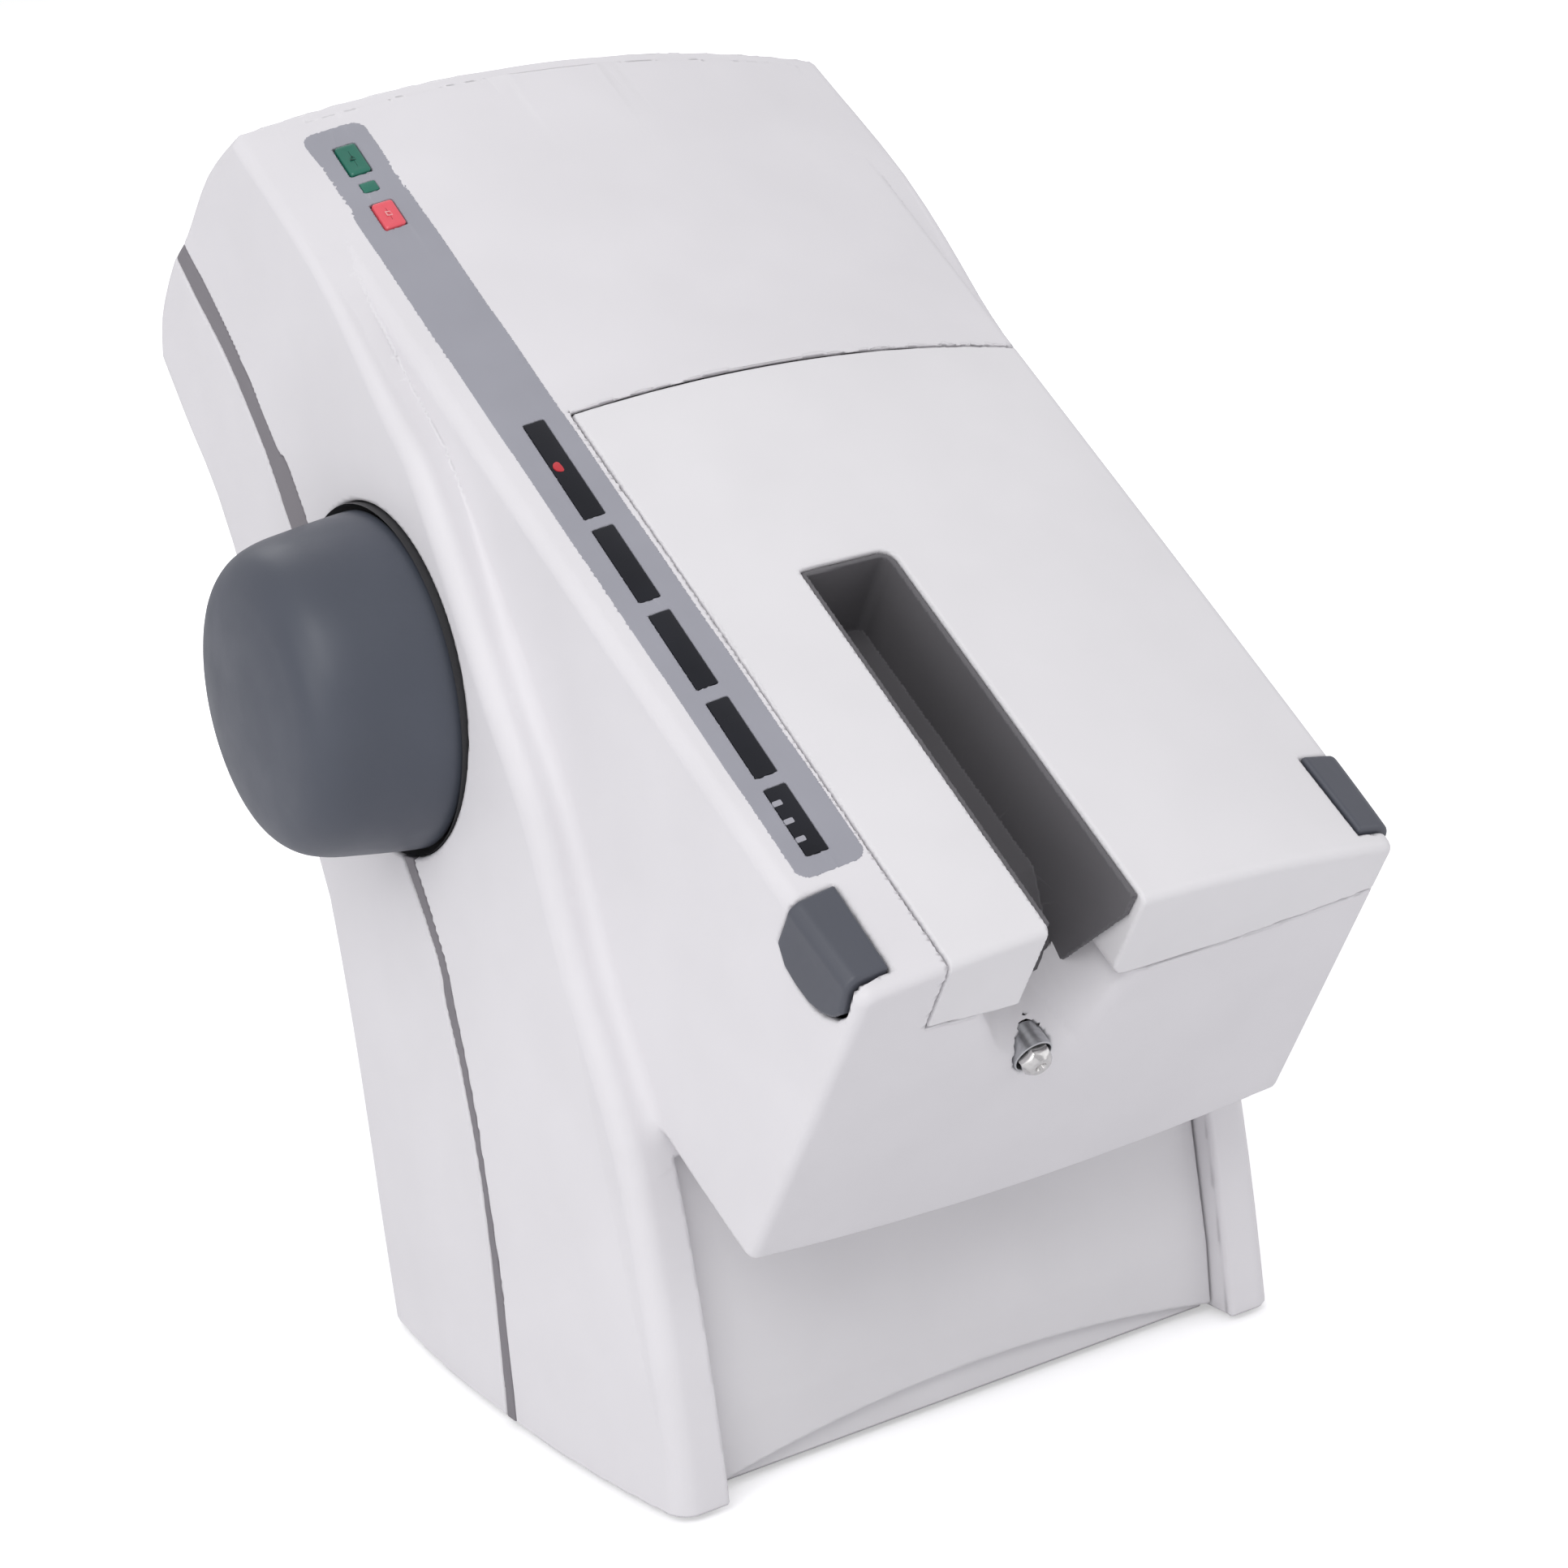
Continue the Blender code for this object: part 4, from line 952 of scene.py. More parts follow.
def solid_mesh(name: str, rings: Sequence[Sequence[Point]], to_row: Matrix, bevel: float = 0.0,
               segments: int = 3, sharp: float = 35.0, closed: bool = True) -> bpy.types.Mesh:
    """A mesh through rings of points, with bevelled edges.

    Args:
        name: name of the mesh.
        rings: closed rings of equal length, in millimetres.
        to_row: matrix from the rings' frame to the row frame, in metres.
        bevel: radius of the sharp edges in millimetres.
        segments: steps in each bevel.
        sharp: angle in degrees above which an edge is bevelled.
        closed: whether both ends get a cap.

    Returns:
        The new mesh.
    """
    made = bmesh.new()
    rows = [[made.verts.new(point) for point in ring] for ring in rings]
    size = len(rings[0])
    if closed:
        made.faces.new(rows[0][::-1])
        made.faces.new(rows[-1])
    for low, high in zip(rows, rows[1:]):
        for index in range(size):
            after = (index + 1) % size
            made.faces.new((low[index], low[after], high[after], high[index]))
    return finished(name, made, to_row, bevel, segments, sharp)


def finished(name: str, made: bmesh.types.BMesh, to_row: Matrix, bevel: float = 0.0,
             segments: int = 3, sharp: float = 35.0) -> bpy.types.Mesh:
    """Bevels a bmesh's sharp edges and turns it into a mesh of the row frame."""
    bmesh.ops.remove_doubles(made, verts=made.verts, dist=1e-4)
    bmesh.ops.recalc_face_normals(made, faces=made.faces)
    if bevel:
        edges = [edge for edge in made.edges
                 if edge.is_manifold and edge.calc_face_angle(0.0) > math.radians(sharp)]
        bmesh.ops.bevel(made, geom=edges, offset=bevel, segments=segments, profile=0.5,
                        affect="EDGES", clamp_overlap=True)
    mesh = bpy.data.meshes.new(name)
    made.to_mesh(mesh)
    made.free()
    mesh.transform(to_row)
    mesh.shade_smooth()
    mesh.set_sharp_from_angle(angle=math.radians(38))
    return mesh


def circle(center: Point, radius: float, steps: int = 48) -> list[tuple[float, float]]:
    """Points on a circle, anticlockwise."""
    return [(center[0] + radius * math.cos(2 * math.pi * step / steps),
             center[1] + radius * math.sin(2 * math.pi * step / steps)) for step in range(steps)]


def round_box(low: Point, high: Point, radius: float, steps: int = 5) -> list[tuple[float, float]]:
    """A rounded rectangle, anticlockwise."""
    corners = ((high[0] - radius, low[1] + radius, -90), (high[0] - radius, high[1] - radius, 0),
               (low[0] + radius, high[1] - radius, 90), (low[0] + radius, low[1] + radius, 180))
    outline = []
    for x, y, first in corners:
        for step in range(steps + 1):
            angle = math.radians(first + 90 * step / steps)
            outline.append((x + radius * math.cos(angle), y + radius * math.sin(angle)))
    return outline


def turned(profile: Sequence[Point], axis: str, steps: int = 96) -> list[list[tuple[float, ...]]]:
    """Rings of a solid of revolution about X, Y or Z.

    Args:
        profile: (place along the axis, radius) points.
        axis: the axis's letter.
        steps: points in each ring.

    Returns:
        One ring for each point of the profile.
    """
    order = {"X": (0, 1, 2), "Y": (1, 2, 0), "Z": (2, 0, 1)}[axis]
    rings = []
    for place, radius in profile:
        ring = []
        for u, v in circle((0, 0), radius, steps):
            point = [0.0, 0.0, 0.0]
            point[order[0]], point[order[1]], point[order[2]] = place, u, v
            ring.append(tuple(point))
        rings.append(ring)
    return rings


def machine_at(x: float = 0.0, y: float = 0.0, z: float = 0.0) -> Matrix:
    """From a frame at this point of the machine frame, in millimetres, to the row frame."""
    return MACHINE_TO_ROW @ Matrix.Translation((x, y, z))


def head_at(x: float = 0.0, s: float = 0.0, n: float = 0.0) -> Matrix:
    """From a frame at this point of the head frame, in millimetres, to the row frame."""
    return MACHINE_TO_ROW @ HEAD_TO_MACHINE @ Matrix.Translation((x, s, n))


def crown_at(x: float, s: float) -> float:
    """Height of the arched top at one point."""
    return float(HEAD.crown(np.array(x, float), np.array(s, float)))


# ---------------------------------------------------------------- sub-assemblies


@dataclass
class Cabinet(SubAssembly):
    """The moulded shells: front with its trough, rear, seam strips, apron and wheel dish."""

    crease: float = 5.0
    well_radius: float = 47.6
    well_bottom: float = -70.0
    ledge_middle: float = 91.0
    ledge_half: float = 74.0
    ledge_reach: float = 3.0
    ledge_drop: float = 2.0
    pillar_inner: float = 80.4
    pillar_depth: float = 20.0
    legs_depth: float = 16.0
    legs_at: Point = (-42.0, 54.2)
    legs_rise: float = 0.73
    legs_scale: float = 0.81
    openings: tuple = (((-34, 60), (34, 92)), ((40.2, 19.7), (68.8, 42.3)),
                       ((-64.3, 21.7), (-43.7, 36.3)))
    openings_from: float = 150.0
    strip_inset: float = 0.25
    strip_depth: float = 2.4
    strips_part: Point = (-60.0, WHEEL_Z - 5.0)
    apron_face: float = 6.0
    apron_foot: float = 20.0
    apron_lean: float = 0.09
    apron_half: float = 80.0
    apron_top: float = 94.0
    arch_foot: float = 1.5
    arch_rise: float = 8.0
    sill_y: float = 10.1
    sill_half: float = 1.2
    sill_z: Point = (0.3, 16.0)
    cell: float = 1.25

    def outer(self, x: Array, y: Array, z: Array) -> Array:
        """Head and body together, creased where they meet."""
        s, n = to_head(y, z)
        width = self.crease * np.clip((-12.0 - n) / 20.0, 0.0, 1.0)
        return blend(HEAD.skin(x, s, n), body_skin(x, y, z), width)

    def well(self, x: Array, y: Array, z: Array) -> Array:
        """The round recess for the handwheel."""
        round_part = np.hypot(y - WHEEL_Y, z - WHEEL_Z) - self.well_radius
        return np.maximum(round_part, x - self.well_bottom)

    def ledge(self, x: Array, s: Array, n: Array) -> Array:
        """The ledge that the flap's left edge lies over."""
        top = HEAD.crown(x, s)
        edge = FLAP_SPACE.left - FLAP_SPACE.left_lean * s
        upper = np.where(x < edge - 1.0, top - self.ledge_drop, top - WALL - 0.5)
        along = np.abs(s - self.ledge_middle) - self.ledge_half
        span = np.maximum(np.abs(x - edge) - self.ledge_reach, along)
        return np.maximum(span, np.maximum(n - upper, top - 2 * WALL - n))

    def front(self, x: Array, y: Array, z: Array) -> Array:
        """The front shell with its trough."""
        s, n = to_head(y, z)
        outer = self.outer(x, y, z)
        shell = np.maximum(outer, -outer - WALL)
        channel = TROUGH.channel(x, s, n)
        lining = np.maximum(channel - TROUGH.wall, s - TROUGH.end)
        shell = np.minimum(shell, np.maximum(lining, outer))
        lip = 0.3 + TROUGH.lip * np.clip((TROUGH.lip_length - s) / TROUGH.lip_length, 0.0, 1.0)
        shell = carve(shell, np.maximum(channel, s - TROUGH.reach), lip)
        shell = carve(shell, np.maximum(DRIVE.distance(x, n), s - TROUGH.reach), 0.5)
        shell = carve(shell, FLAP_SPACE.distance(x, s, n) - PLAY, 0.3)
        shell = np.minimum(shell, self.ledge(x, s, n))
        recess = np.maximum(STRIP.distance(x, s) + STRIP.ledge, HEAD.crown(x, s) - STRIP.recess - n)
        shell = carve(shell, recess, 0.3)
        shell = carve(shell, LEVER.pocket(x, s, n), SOFT_EDGE)
        shell = meet(shell, SEAM_FRONT_MAP(y, z), SOFT_EDGE)
        shell = carve(shell, self.well(x, y, z), 1.2)
        slant = z - self.legs_at[1] - self.legs_rise * (y - self.legs_at[0])
        slant = slant * self.legs_scale
        pillar = np.maximum(np.abs(np.abs(x) - self.pillar_inner - WALL / 2) - WALL / 2,
                            np.maximum(y - self.pillar_depth, slant - WALL))
        shell = np.minimum(shell, np.maximum(pillar, outer))
        legs = np.maximum(np.abs(x) - self.pillar_inner, y - self.legs_depth)
        shell = carve(shell, np.maximum(legs, slant), 1.2)
        return meet(shell, FLOOR - z, FOOT_EDGE)

    def rear(self, x: Array, y: Array, z: Array) -> Array:
        """The rear shell with its openings."""
        skin = body_skin(x, y, z)
        shell = np.maximum(skin, -skin - WALL)
        shell = meet(shell, -SEAM_REAR_MAP(y, z), SOFT_EDGE)
        shell = carve(shell, self.well(x, y, z), 1.2)
        for low, high in self.openings:
            hole = box_distance(x, z, low, high, 1.0)
            shell = carve(shell, np.maximum(hole, self.openings_from - y), 0.5)
        return meet(shell, FLOOR - z, FOOT_EDGE)

    def strip(self, lower: bool) -> Field:
        """One length of the grey strip in the seam."""
        def shape(x: Array, y: Array, z: Array) -> Array:
            """The ribbon between the two shells, cut at the handwheel's well."""
            skin = body_skin(x, y, z) + self.strip_inset
            ribbon = np.maximum(-SEAM_FRONT_MAP(y, z), SEAM_REAR_MAP(y, z)) + self.strip_inset
            shell = meet(np.maximum(skin, -skin - self.strip_depth), ribbon, 0.35)
            shell = carve(shell, self.well(x, y, z), 0.3)
            shell = np.maximum(shell, FLOOR - z)
            below = np.maximum(x - self.strips_part[0], z - self.strips_part[1])
            return np.maximum(shell, below if lower else -below)
        return shape

    def apron(self, x: Array, y: Array, z: Array) -> Array:
        """The panel between the pillars, with an arched lower edge and a sill behind it."""
        face = self.apron_face + np.maximum(z - self.apron_foot, 0.0) * self.apron_lean
        sheet = np.maximum(face - y, y - face - WALL)
        panel = meet(sheet, np.abs(x) - self.apron_half, FOOT_EDGE)
        arch = self.arch_foot + self.arch_rise * (1 - (x / self.apron_half) ** 2)
        panel = meet(panel, arch - z, FOOT_EDGE)
        sill = np.maximum(z - self.sill_z[1], self.sill_z[0] - z)
        sill = np.maximum(np.abs(y - self.sill_y) - self.sill_half, sill)
        panel = np.minimum(panel, meet(sill, np.abs(x) - self.apron_half + 1.0, 0.4))
        return np.maximum(panel, z - self.apron_top)

    def _dish(self) -> None:
        """The round dish behind the handwheel, in black plastic whose black also paints the shade in the
        gap round the wheel.
        """
        rim = self.well_radius - 0.15
        profile = [(-92.7, 10.0), (-93.0, 11.0), (-93.0, rim - 4.5), (-93.4, rim - 2.4),
                   (-94.6, rim - 1.1), (-96.0, rim - 0.3), (-96.4, rim - 0.1), (-95.6, rim),
                   (-89.0, rim), (-89.0, 10.0), (-92.7, 10.0)]
        mesh = solid_mesh("wheel_dish", turned(profile, "X"), machine_at(0, WHEEL_Y, WHEEL_Z),
                          closed=False)
        # Black finish: the dish's own dark plastic, and also painted shade in the gap between the wheel and
        # the housing.
        self.make("wheel_dish", mesh, Finish.BLACK, Body.CABINET, "dark_plastic", "wheel_well")

    def build(self) -> None:
        """Builds the shells and what closes the gaps between them."""
        net = Net((-104, -88, -1), (104, 252, 352), self.cell, 0.22)
        self.make("front_shell", net.mesh("front_shell", self.front), Finish.HOUSING,
                  Body.CABINET, "housing_white", "front_housing", "nozzle_trough")
        net = Net((-104, 80, -1), (104, 256, 352), self.cell, 0.25)
        self.make("rear_shell", net.mesh("rear_shell", self.rear), Finish.HOUSING,
                  Body.CABINET, "housing_white", "rear_housing")
        for lower, name, node in ((True, "seam_strip_lower", "seam_trim_lower"),
                                  (False, "seam_strip_upper", "seam_trim")):
            net = Net((-104, 74, -1), (104, 256, 345), 0.8, 0.4)
            self.make(name, net.mesh(name, self.strip(lower)), Finish.TRIM, Body.CABINET,
                      "trim_plastic", node)
        net = Net((-81, 4, 0), (81, 18, 95), 0.8, 0.2)
        self.make("front_apron", net.mesh("front_apron", self.apron), Finish.PANEL,
                  Body.CABINET, "housing_white", "front_panel")
        self._dish()


@dataclass
class Lid(SubAssembly):
    """The flap over the cartridge bay, with the slot for the mixing tip."""

    slot_left: float = -28.7
    slot_right: float = -2.4
    slot_rear: float = 120.0
    corner_left: float = 1.0
    corner_right: float = 4.0
    chute_floor: float = -17.0
    chute_drop: float = 16.0
    chute_ramp: Point = (16.0, 34.0)
    chute_wall: float = 1.5
    chute_front: float = 3.0
    chute_lean: float = 0.4
    cheek_half: float = 1.6
    cheek_at: float = 8.0
    cheek_reach: float = 6.5
    nose_radius: float = 5.0
    nose_end: float = 15.0
    lug: tuple = ((168.7, -9.5), (177.7, 5.0))
    lug_x: float = -53.3
    lug_half: float = 1.9
    lever_inner: float = 60.0
    cell: float = 1.1

    def slot(self, x: Array, s: Array) -> Array:
        """Signed distance to the slot, which runs out at the front."""
        middle = (self.slot_left + self.slot_right) / 2
        corner = np.where(x > middle, self.corner_right, self.corner_left)
        return box_distance(x, s, (self.slot_left, -60.0), (self.slot_right, self.slot_rear), corner)

    def chute(self, x: Array, y: Array, z: Array) -> Array:
        """The dark liner of the slot, open to the front."""
        s, n = to_head(y, z)
        outside = self.slot(x, s) + 0.2
        start, end = self.chute_ramp
        bottom = self.chute_floor - self.chute_drop * np.clip((end - s) / (end - start), 0.0, 1.0)
        wall = np.maximum(outside, -outside - self.chute_wall)
        floor = np.maximum(outside, n - bottom)
        liner = np.maximum(np.minimum(wall, floor), (bottom - self.chute_wall - 0.1 - n) * 0.8)
        liner = meet(liner, n - HEAD.crown(x, s) + 0.9, 0.4)
        front = self.chute_front + self.chute_lean * np.maximum(-n, 0.0)
        return np.maximum(liner, (front - s) * 0.93)

    def shape(self, x: Array, y: Array, z: Array) -> Array:
        """The flap's field."""
        s, n = to_head(y, z)
        skin = HEAD.skin(x, s, n)
        shell = np.maximum(skin, -skin - WALL)
        slot = self.slot(x, s)
        shell = meet(shell, FLAP_SPACE.distance(x, s, n), PLAY)
        shell = carve(shell, slot, SOFT_EDGE)
        under = -FLAP_SPACE.skirt_at(x) - n
        cheek = np.maximum(np.abs(x - self.slot_right - self.cheek_half) - self.cheek_half,
                           np.abs(s - self.cheek_at) - self.cheek_reach)
        cheek = np.maximum(cheek, np.maximum(under, skin + 1.0))
        shell = np.minimum(shell, cheek)
        corner = meet(self.slot_right - x, under, self.nose_radius)
        at_corner = (s < self.nose_end) & (x > (self.slot_left + self.slot_right) / 2)
        shell = np.where(at_corner, np.maximum(shell, corner), shell)
        lever = np.maximum(LEVER.pocket(x, s, n), self.lever_inner - x)
        shell = carve(shell, lever, SOFT_EDGE)
        lug = box_distance(s, n, *self.lug, 1.0)
        lug = np.maximum(lug, np.abs(x - self.lug_x) - self.lug_half)
        shell = np.minimum(shell, np.maximum(lug, skin))
        pin = np.hypot(s - FLAP_SPACE.axis_s, n - FLAP_SPACE.axis_n) - FLAP_SPACE.pin
        return carve(shell, pin, 0.2)

    def build(self) -> None:
        """Builds the flap."""
        net = Net((-58, -88, 115), (88, 80, 282), self.cell, 0.3)
        self.make("flap_lid", net.mesh("flap_lid", self.shape), Finish.LID, Body.FLAP,
                  "housing_white", "flap")
        net = Net((-30, -90, 130), (-1, 40, 245), 0.8, 0.25)
        self.make("slot_chute", net.mesh("slot_chute", self.chute), Finish.BAY, Body.FLAP,
                  "bay_plastic")


@dataclass
class ReleaseLevers(SubAssembly):
    """Both release levers at the front corners."""

    cell: float = 0.55

    def build(self) -> None:
        """Builds a lever on each side."""
        for side, body in ((Side.LEFT, Body.LEVER_LEFT), (Side.RIGHT, Body.LEVER_RIGHT)):
            xs = sorted((side.value * 62.0, side.value * 84.0))
            net = Net((xs[0], -84, 138), (xs[1], -44, 186), self.cell, 0.5)
            name = f"{body.value}_grip"
            self.make(name, net.mesh(name, LEVER.solid(side)), Finish.LEVER, body,
                      "dark_plastic", body.value)


@dataclass
class Keypad(SubAssembly):
    """The keypad strip with its windows, lens and keys."""

    key_x: tuple = (-71.2, -65.5)
    start_key: tuple = (291.4, 303.0)
    stop_key: tuple = (268.8, 278.8)
    lens_x: tuple = (-70.7, -66.5)
    lens: tuple = (283.8, 287.6)
    window_x: tuple = (-69.6, -64.0)
    windows: tuple = ((154.8, 189.8), (125.0, 150.8), (95.1, 120.5), (65.7, 90.6), (41.0, 62.0))
    lit_at: tuple = (-67.3, 173.4)
    film_above: float = 0.12
    film_below: float = 1.25
    notch_x: tuple = (-69.7, -67.4)
    notch_long: float = 1.5
    notches: tuple = (0.2, 0.47, 0.74)
    cell: float = 0.5

    def film(self, x: Array, y: Array, z: Array) -> Array:
        """The strip's field: a thin plate on the arched top, with its openings."""
        s, n = to_head(y, z)
        rise = n - HEAD.crown(x, s)
        plate = np.maximum(rise - self.film_above, -rise - self.film_below)
        plate = meet(plate, STRIP.distance(x, s), 0.15)
        holes = [(self.window_x, span, 0.1) for span in self.windows]
        holes += [(self.key_x, span, 0.35) for span in (self.start_key, self.stop_key)]
        for (x0, x1), (low, high), gap in (*holes, (self.lens_x, self.lens, 0.1)):
            hole = box_distance(x, s, (x0 - gap, low - gap), (x1 + gap, high + gap), 0.5)
            plate = carve(plate, hole, 0.12)
        return plate

    def plate(self, name: str, x: tuple, s: tuple, above: float, below: float, corner: float,
              finish: Finish, body: Body, slot: str, *nodes: str) -> None:
        """A small plate that follows the arched top.

        Args:
            name: name of the piece.
            x: its left and right edges.
            s: its lower and upper edges.
            above: height of its face over the top.
            below: depth of its back under the top.
            corner: radius of its corners.
            finish: its finish.
            body: the body it rides on.
            slot: the record's material slot.
            nodes: the CAD nodes it stands for.
        """
        outline = round_box((x[0], s[0]), (x[1], s[1]), corner)
        rings = [[(a, b, crown_at(a, b) + height) for a, b in outline] for height in (below, above)]
        mesh = solid_mesh(name, rings, head_at(), min(0.25, corner * 0.6), 2)
        self.make(name, mesh, finish, body, slot, *nodes)

    def key(self, name: str, s: tuple, finish: Finish, sign: Finish, body: Body, slot: str) -> None:
        """A key with a pillowed face, its stem and its sign."""
        x0, x1 = self.key_x
        middle = ((x0 + x1) / 2, (s[0] + s[1]) / 2)
        rings = []
        for inset, height in ((0.0, -5.0), (0.0, 0.1), (0.15, 0.35), (0.45, 0.5), (1.4, 0.42),
                              (2.6, 0.36)):
            outline = round_box((x0 + inset, s[0] + inset), (x1 - inset, s[1] - inset),
                                max(0.8 - inset * 0.2, 0.3))
            rings.append([(a, b, crown_at(a, b) + height) for a, b in outline])
        mesh = solid_mesh(name, rings, head_at())
        self.make(name, mesh, finish, body, slot, name.replace("_cap", ""))
        top = crown_at(*middle) + 0.36
        points = 3 if sign is Finish.SIGN_DARK else 4
        turn = math.pi / 2 if points == 3 else math.pi / 4
        rings = []
        for radius, height in ((1.25, 0.0), (1.25, 0.16), (0.85, 0.16), (0.85, 0.0)):
            rings.append([(middle[0] + radius * math.cos(turn + 2 * math.pi * k / points),
                           middle[1] + radius * math.sin(turn + 2 * math.pi * k / points),
                           top + height) for k in range(points)])
        mesh = solid_mesh(f"{name}_sign", [*rings, rings[0]], head_at(), closed=False)
        self.make(f"{name}_sign", mesh, sign, body, slot)

    def marks(self) -> None:
        """The scale of notches on the lowest window."""
        low, high = self.windows[-1]
        for index, share in enumerate(self.notches):
            start = low + (high - low) * share
            outline = round_box((self.notch_x[0], start),
                                (self.notch_x[1], start + self.notch_long), 0.3, 3)
            rings = [[(a, b, crown_at(a, b) + height) for a, b in outline] for height in (-0.3, 0.14)]
            name = f"scale_notch_{index + 1}"
            self.make(name, solid_mesh(name, rings, head_at()), Finish.MARK, Body.CABINET,
                      "strip_film")

    def build(self) -> None:
        """Builds the strip and all that is set in it."""
        net = Net((-79, -60, 168), (-55, 172, 352), self.cell, 0.2)
        self.make("keypad_film", net.mesh("keypad_film", self.film), Finish.STRIP, Body.CABINET,
                  "strip_film", "control_strip")
        for index, span in enumerate(self.windows):
            name = f"window_{index + 1}"
            self.plate(f"{name}_film", self.window_x, span, 0.02, -1.2, 0.45, Finish.WINDOW,
                       Body.CABINET, "window_film", name)
        self.plate("status_lens_cap", self.lens_x, self.lens, 0.2, -1.2, 0.35, Finish.KEY_GREEN,
                   Body.CABINET, "key_green", "status_lens")
        self.key("start_key_cap", self.start_key, Finish.KEY_GREEN, Finish.SIGN_DARK,
                 Body.START_KEY, "key_green")
        self.key("stop_key_cap", self.stop_key, Finish.KEY_RED, Finish.SIGN_PALE,
                 Body.STOP_KEY, "key_red")
        self.marks()
        height = crown_at(*self.lit_at) + 0.02
        profile = [(-0.3, 1.8), (0.0, 1.8), (0.08, 1.4), (0.1, 0.4)]
        mesh = solid_mesh("status_light", turned(profile, "Z", 24), head_at(*self.lit_at, height))
        self.make("status_light", mesh, Finish.LIT_RED, Body.CABINET, "key_red")


@dataclass
class Handwheel(SubAssembly):
    """The large handwheel with its domed face."""

    face: float = -136.0
    rim: float = -95.0
    radius: float = 45.5

    def profile(self) -> list[tuple[float, ...]]:
        """Half section (x, radius), from the middle of the face round to the bore."""
        face = self.face
        outside = [(face, 0.4), (face + 0.2, 9), (face + 0.7, 16), (face + 1.3, 22),
                   (face + 2.1, 27), (face + 3.2, 32), (face + 5.4, 36.4), (face + 9.4, 39.9),
                   (face + 15.0, 42.0), (face + 22, 43.2), (face + 32, 44.6),
                   (self.rim - 1.0, self.radius), (self.rim - 0.2, self.radius - 0.35),
                   (self.rim, self.radius - 1.0)]
        inside = [(self.rim, 42.8), (self.rim - 1.0, 42.2), (face + 21, 38.5), (face + 12, 35),
                  (face + 8, 27), (face + 8, 9.6), (-99.8, 9.3), (-99.5, 9.0), (-99.5, 6.3),
                  (face + 5, 6.3), (face + 5, 0.4)]
        return curve_through(outside, 4) + inside

    def build(self) -> None:
        """Builds the wheel."""
        mesh = solid_mesh("handwheel_grip", turned(self.profile(), "X", 128),
                          machine_at(0, WHEEL_Y, WHEEL_Z))
        self.make("handwheel_grip", mesh, Finish.GRIP, Body.HANDWHEEL, "dark_plastic", "handwheel")


@dataclass
class MixingDrive(SubAssembly):
    """The mixing shaft, with the hexagonal end that shows in the trough."""

    radius: float = 4.5
    start: float = -3.0
    end: float = 222.0

    def build(self) -> None:
        """Builds the shaft and the collar that it runs in."""
        rings = []
        for s, size, turn in ((0.9, 1.1, 1.0), (0.0, 1.5, 1.0), (0.0, 2.9, 1.0), (0.7, 3.6, 0.6),
                              (1.6, 4.35, 0.2), (2.6, 4.5, 0.0), (8.6, 4.5, 0.0), (9.3, 4.1, 0.9),
                              (10.4, 4.0, 1.0), (11.2, 3.95, 1.0), (self.end - self.start - 0.6, 3.95, 1.0),
                              (self.end - self.start, 3.4, 1.0)):
            ring = []
            for step in range(72):
                angle = 2 * math.pi * step / 72
                flat = math.cos(math.pi / 6) / math.cos((angle % (math.pi / 3)) - math.pi / 6)
                reach = size * (flat + (1 - flat) * turn)
                ring.append((reach * math.cos(angle), s + self.start, reach * math.sin(angle)))
            rings.append(ring)
        mesh = solid_mesh("mixing_shaft_rod", rings, head_at(DRIVE.x, 0, DRIVE.n))
        self.make("mixing_shaft_rod", mesh, Finish.SHAFT, Body.MIXING_SHAFT, "bright_steel",
                  "drive_shaft")
        profile = [(0.6, 5.25), (0.2, 5.25), (0.0, 5.05), (0.0, 4.85), (0.3, 4.7), (7.0, 4.7),
                   (7.0, 5.25), (0.6, 5.25)]
        mesh = solid_mesh("shaft_collar", turned(profile, "Y", 64), head_at(DRIVE.x, 0.3, DRIVE.n),
                          closed=False)
        self.make("shaft_collar", mesh, Finish.SHEET, Body.CABINET, "bright_steel")


@dataclass
class Base(SubAssembly):
    """Feet under the base plate."""

    places: tuple = (("front_left", -70, 36), ("front_right", 70, 36), ("rear_left", -70, 150),
                     ("rear_right", 70, 150))

    def build(self) -> None:
        """Builds the feet."""
        for place, x, y in self.places:
            low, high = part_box(f"foot_{place}")
            tall = (high.z - low.z) / MM
            profile = [(0.5, 5.2), (0.5, 5.6), (0.0, 6.2), (0.0, 8.2), (0.35, 8.85), (1.0, 9.0),
                       (tall - 0.3, 9.0), (tall, 8.7)]
            to_row = Matrix.Translation(Vector(((low.x + high.x) / 2, (low.y + high.y) / 2, low.z)))
            mesh = solid_mesh(f"foot_pad_{place}", turned(profile, "Z", 48),
                              to_row @ Matrix.Scale(MM, 4))
            self.make(f"foot_pad_{place}", mesh, Finish.RUBBER, Body.CABINET, "foot_rubber",
                      f"foot_{place}")


@dataclass
class RearFittings(SubAssembly):
    """Pins of the mains inlet."""

    inlet: tuple = (54.5, 31.0)
    pins: tuple = ((-4.6, -1.8), (0.0, 2.4), (4.6, -1.8))

    def build(self) -> None:
        """Builds the inlet's three pins."""
        for index, (dx, dz) in enumerate(self.pins):
            rings = []
            for y, inset in ((164.1, 0.0), (169.6, 0.0), (170.1, 0.35)):
                outline = round_box((-0.9 + inset, -2.0 + inset), (0.9 - inset, 2.0 - inset), 0.3, 3)
                rings.append([(a, y, b) for a, b in outline])
            name = f"inlet_pin_{index + 1}"
            mesh = solid_mesh(name, rings, machine_at(self.inlet[0] + dx, 0, self.inlet[1] + dz))
            self.make(name, mesh, Finish.STEEL, Body.CABINET, "bright_steel")


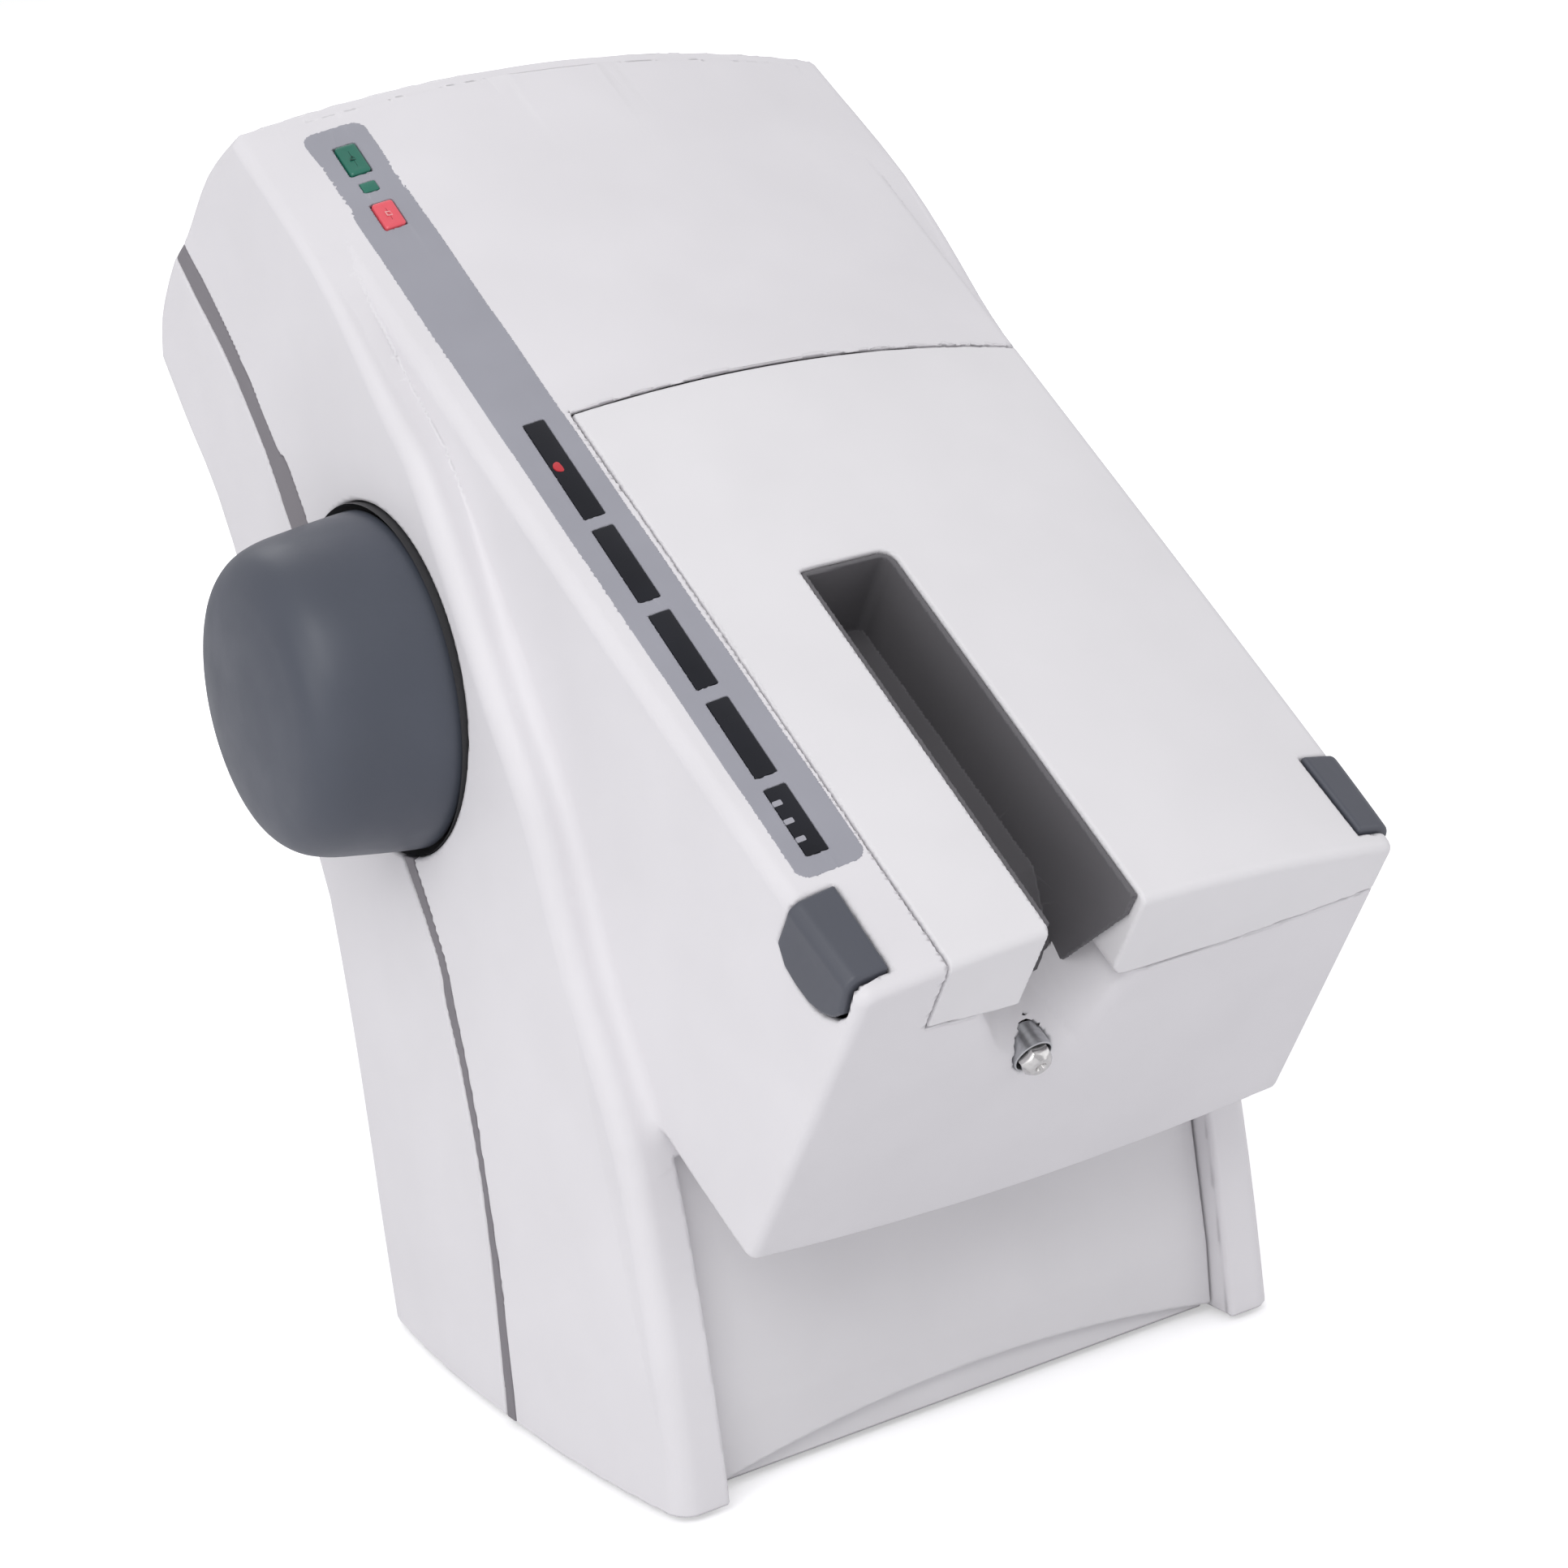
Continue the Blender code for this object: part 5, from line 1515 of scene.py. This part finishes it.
@dataclass
class KeptNodes:
    """Finishes of the CAD nodes that stay visible."""

    finishes: dict = field(default_factory=lambda: {
        Finish.BAY: ("cartridge_cradle", "base_plunger", "catalyst_plunger"),
        Finish.STEEL: ("base_plate", "gear_frame", "hinge_pin_left", "hinge_pin_right",
                       "lever_pin_left", "lever_pin_right", "wheel_hub", "wheel_shaft",
                       "base_pinion", "catalyst_pinion", "motor_pinion", "motor_bracket",
                       "base_screw_front_left", "base_screw_front_right", "base_screw_rear_left",
                       "base_screw_rear_right"),
        Finish.SHEET: ("motor", "power_supply"),
        Finish.BLACK: ("mains_inlet", "switch_frame", "power_switch", "vent_grille",
                       "shaft_bearing", "wheel_bearing"),
        Finish.HOUSING: ("hinge_block_left", "hinge_block_right"),
        Finish.NYLON: ("drive_gear",),
        Finish.BOARD: ("control_board",),
    })

    def dress(self) -> None:
        """Gives each kept node its finish."""
        for finish, nodes in self.finishes.items():
            for node in nodes:
                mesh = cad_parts[node].data
                mesh.materials.clear()
                mesh.materials.append(finish.material())
                LOG.info("dressed %s", node)


# ---------------------------------------------------------------- studio


@dataclass
class Studio:
    """Floor, lamps, world and camera."""

    camera_place: tuple = (-434.21, -675.69, 390.85)
    camera_turn: tuple = (74.8363, 5.4332, -31.5111)
    lens: float = 76.1
    sensor: float = 36.0
    floor_size: float = 60.0
    floor_tone: Color = (0.86, 0.86, 0.87)
    floor_near: Point = (0.3, 0.42)
    floor_far: Point = (1.6, 0.95)
    world_tone: Color = (0.98, 0.97, 1.0)
    world_level: float = 0.62
    aim: Point = (0.0, 0.0, 0.18)
    lamps: tuple = (("key_lamp", (-1.6, -1.5, 2.2), 26.0, 1.6),
                    ("fill_lamp", (1.9, -1.6, 1.2), 7.0, 1.8),
                    ("side_lamp", (-2.3, -0.7, 0.9), 9.0, 1.6),
                    ("back_lamp", (0.4, 1.9, 2.0), 10.0, 1.6))

    def _camera(self) -> None:
        """The camera, at its viewing angle."""
        data = bpy.data.cameras.new("camera")
        data.lens = self.lens
        data.sensor_width = self.sensor
        data.clip_start = 0.01
        data.clip_end = 50.0
        obj = bpy.data.objects.new("camera", data)
        obj.location = MACHINE_TO_ROW @ Vector(self.camera_place)
        obj.rotation_euler = [math.radians(angle) for angle in self.camera_turn]
        bpy.context.scene.collection.objects.link(obj)
        bpy.context.scene.camera = obj

    def _lamp(self, name: str, place: Point, power: float, size: float) -> None:
        """A square soft lamp aimed at the unit."""
        data = bpy.data.lights.new(name, "AREA")
        data.energy = power
        data.size = size
        obj = bpy.data.objects.new(name, data)
        obj.location = place
        aim = Vector(self.aim) - Vector(place)
        obj.rotation_euler = aim.to_track_quat("-Z", "Y").to_euler()
        bpy.context.scene.collection.objects.link(obj)

    def _world(self) -> None:
        """An even pale light that shows as white behind the unit."""
        world = bpy.data.worlds.new("studio")
        bpy.context.scene.world = world
        world.use_nodes = True
        tree = world.node_tree
        tree.nodes.clear()
        light = tree.nodes.new("ShaderNodeBackground")
        light.inputs["Color"].default_value = (*self.world_tone, 1.0)
        light.inputs["Strength"].default_value = self.world_level
        shown = tree.nodes.new("ShaderNodeBackground")
        shown.inputs["Color"].default_value = (1.0, 1.0, 1.0, 1.0)
        mix = tree.nodes.new("ShaderNodeMixShader")
        out = tree.nodes.new("ShaderNodeOutputWorld")
        path = tree.nodes.new("ShaderNodeLightPath")
        tree.links.new(path.outputs["Is Camera Ray"], mix.inputs["Fac"])
        tree.links.new(light.outputs[0], mix.inputs[1])
        tree.links.new(shown.outputs[0], mix.inputs[2])
        tree.links.new(mix.outputs[0], out.inputs["Surface"])

    def _floor(self) -> None:
        """A pale floor that shows nearly white and keeps the unit's shadow."""
        half = self.floor_size / 2
        mesh = bpy.data.meshes.new("floor")
        mesh.from_pydata([(-half, -half, 0), (half, -half, 0), (half, half, 0), (-half, half, 0)],
                         [], [(0, 1, 2, 3)])
        material = bpy.data.materials.new("floor_white")
        material.use_nodes = True
        tree = material.node_tree
        tree.nodes.clear()
        plain = tree.nodes.new("ShaderNodeBsdfDiffuse")
        plain.inputs["Color"].default_value = (*self.floor_tone, 1.0)
        glow = tree.nodes.new("ShaderNodeEmission")
        place = tree.nodes.new("ShaderNodeTexCoord")
        away = tree.nodes.new("ShaderNodeVectorMath")
        away.operation = "LENGTH"
        fade = tree.nodes.new("ShaderNodeMapRange")
        for end, (distance, strength) in (("Min", self.floor_near), ("Max", self.floor_far)):
            fade.inputs[f"From {end}"].default_value = distance
            fade.inputs[f"To {end}"].default_value = strength
        tree.links.new(place.outputs["Object"], away.inputs[0])
        tree.links.new(away.outputs["Value"], fade.inputs["Value"])
        tree.links.new(fade.outputs["Result"], glow.inputs["Strength"])
        add = tree.nodes.new("ShaderNodeAddShader")
        mix = tree.nodes.new("ShaderNodeMixShader")
        out = tree.nodes.new("ShaderNodeOutputMaterial")
        path = tree.nodes.new("ShaderNodeLightPath")
        tree.links.new(plain.outputs[0], add.inputs[0])
        tree.links.new(glow.outputs[0], add.inputs[1])
        tree.links.new(path.outputs["Is Camera Ray"], mix.inputs["Fac"])
        tree.links.new(plain.outputs[0], mix.inputs[1])
        tree.links.new(add.outputs[0], mix.inputs[2])
        tree.links.new(mix.outputs[0], out.inputs["Surface"])
        mesh.materials.append(material)
        obj = bpy.data.objects.new("floor", mesh)
        bpy.context.scene.collection.objects.link(obj)

    def build(self) -> None:
        """Sets the whole studio up."""
        bpy.context.scene.view_settings.view_transform = "Standard"
        self._camera()
        self._world()
        self._floor()
        for name, place, power, size in self.lamps:
            self._lamp(name, place, power, size)


def main() -> None:
    """Builds every sub-assembly and the studio."""
    logging.basicConfig(level=logging.INFO, format="%(message)s")
    Studio().build()
    KeptNodes().dress()
    for part in (Cabinet(), Lid(), ReleaseLevers(), Keypad(), Handwheel(), MixingDrive(), Base(),
                 RearFittings()):
        part.build()


if __name__ == "__main__":
    main()
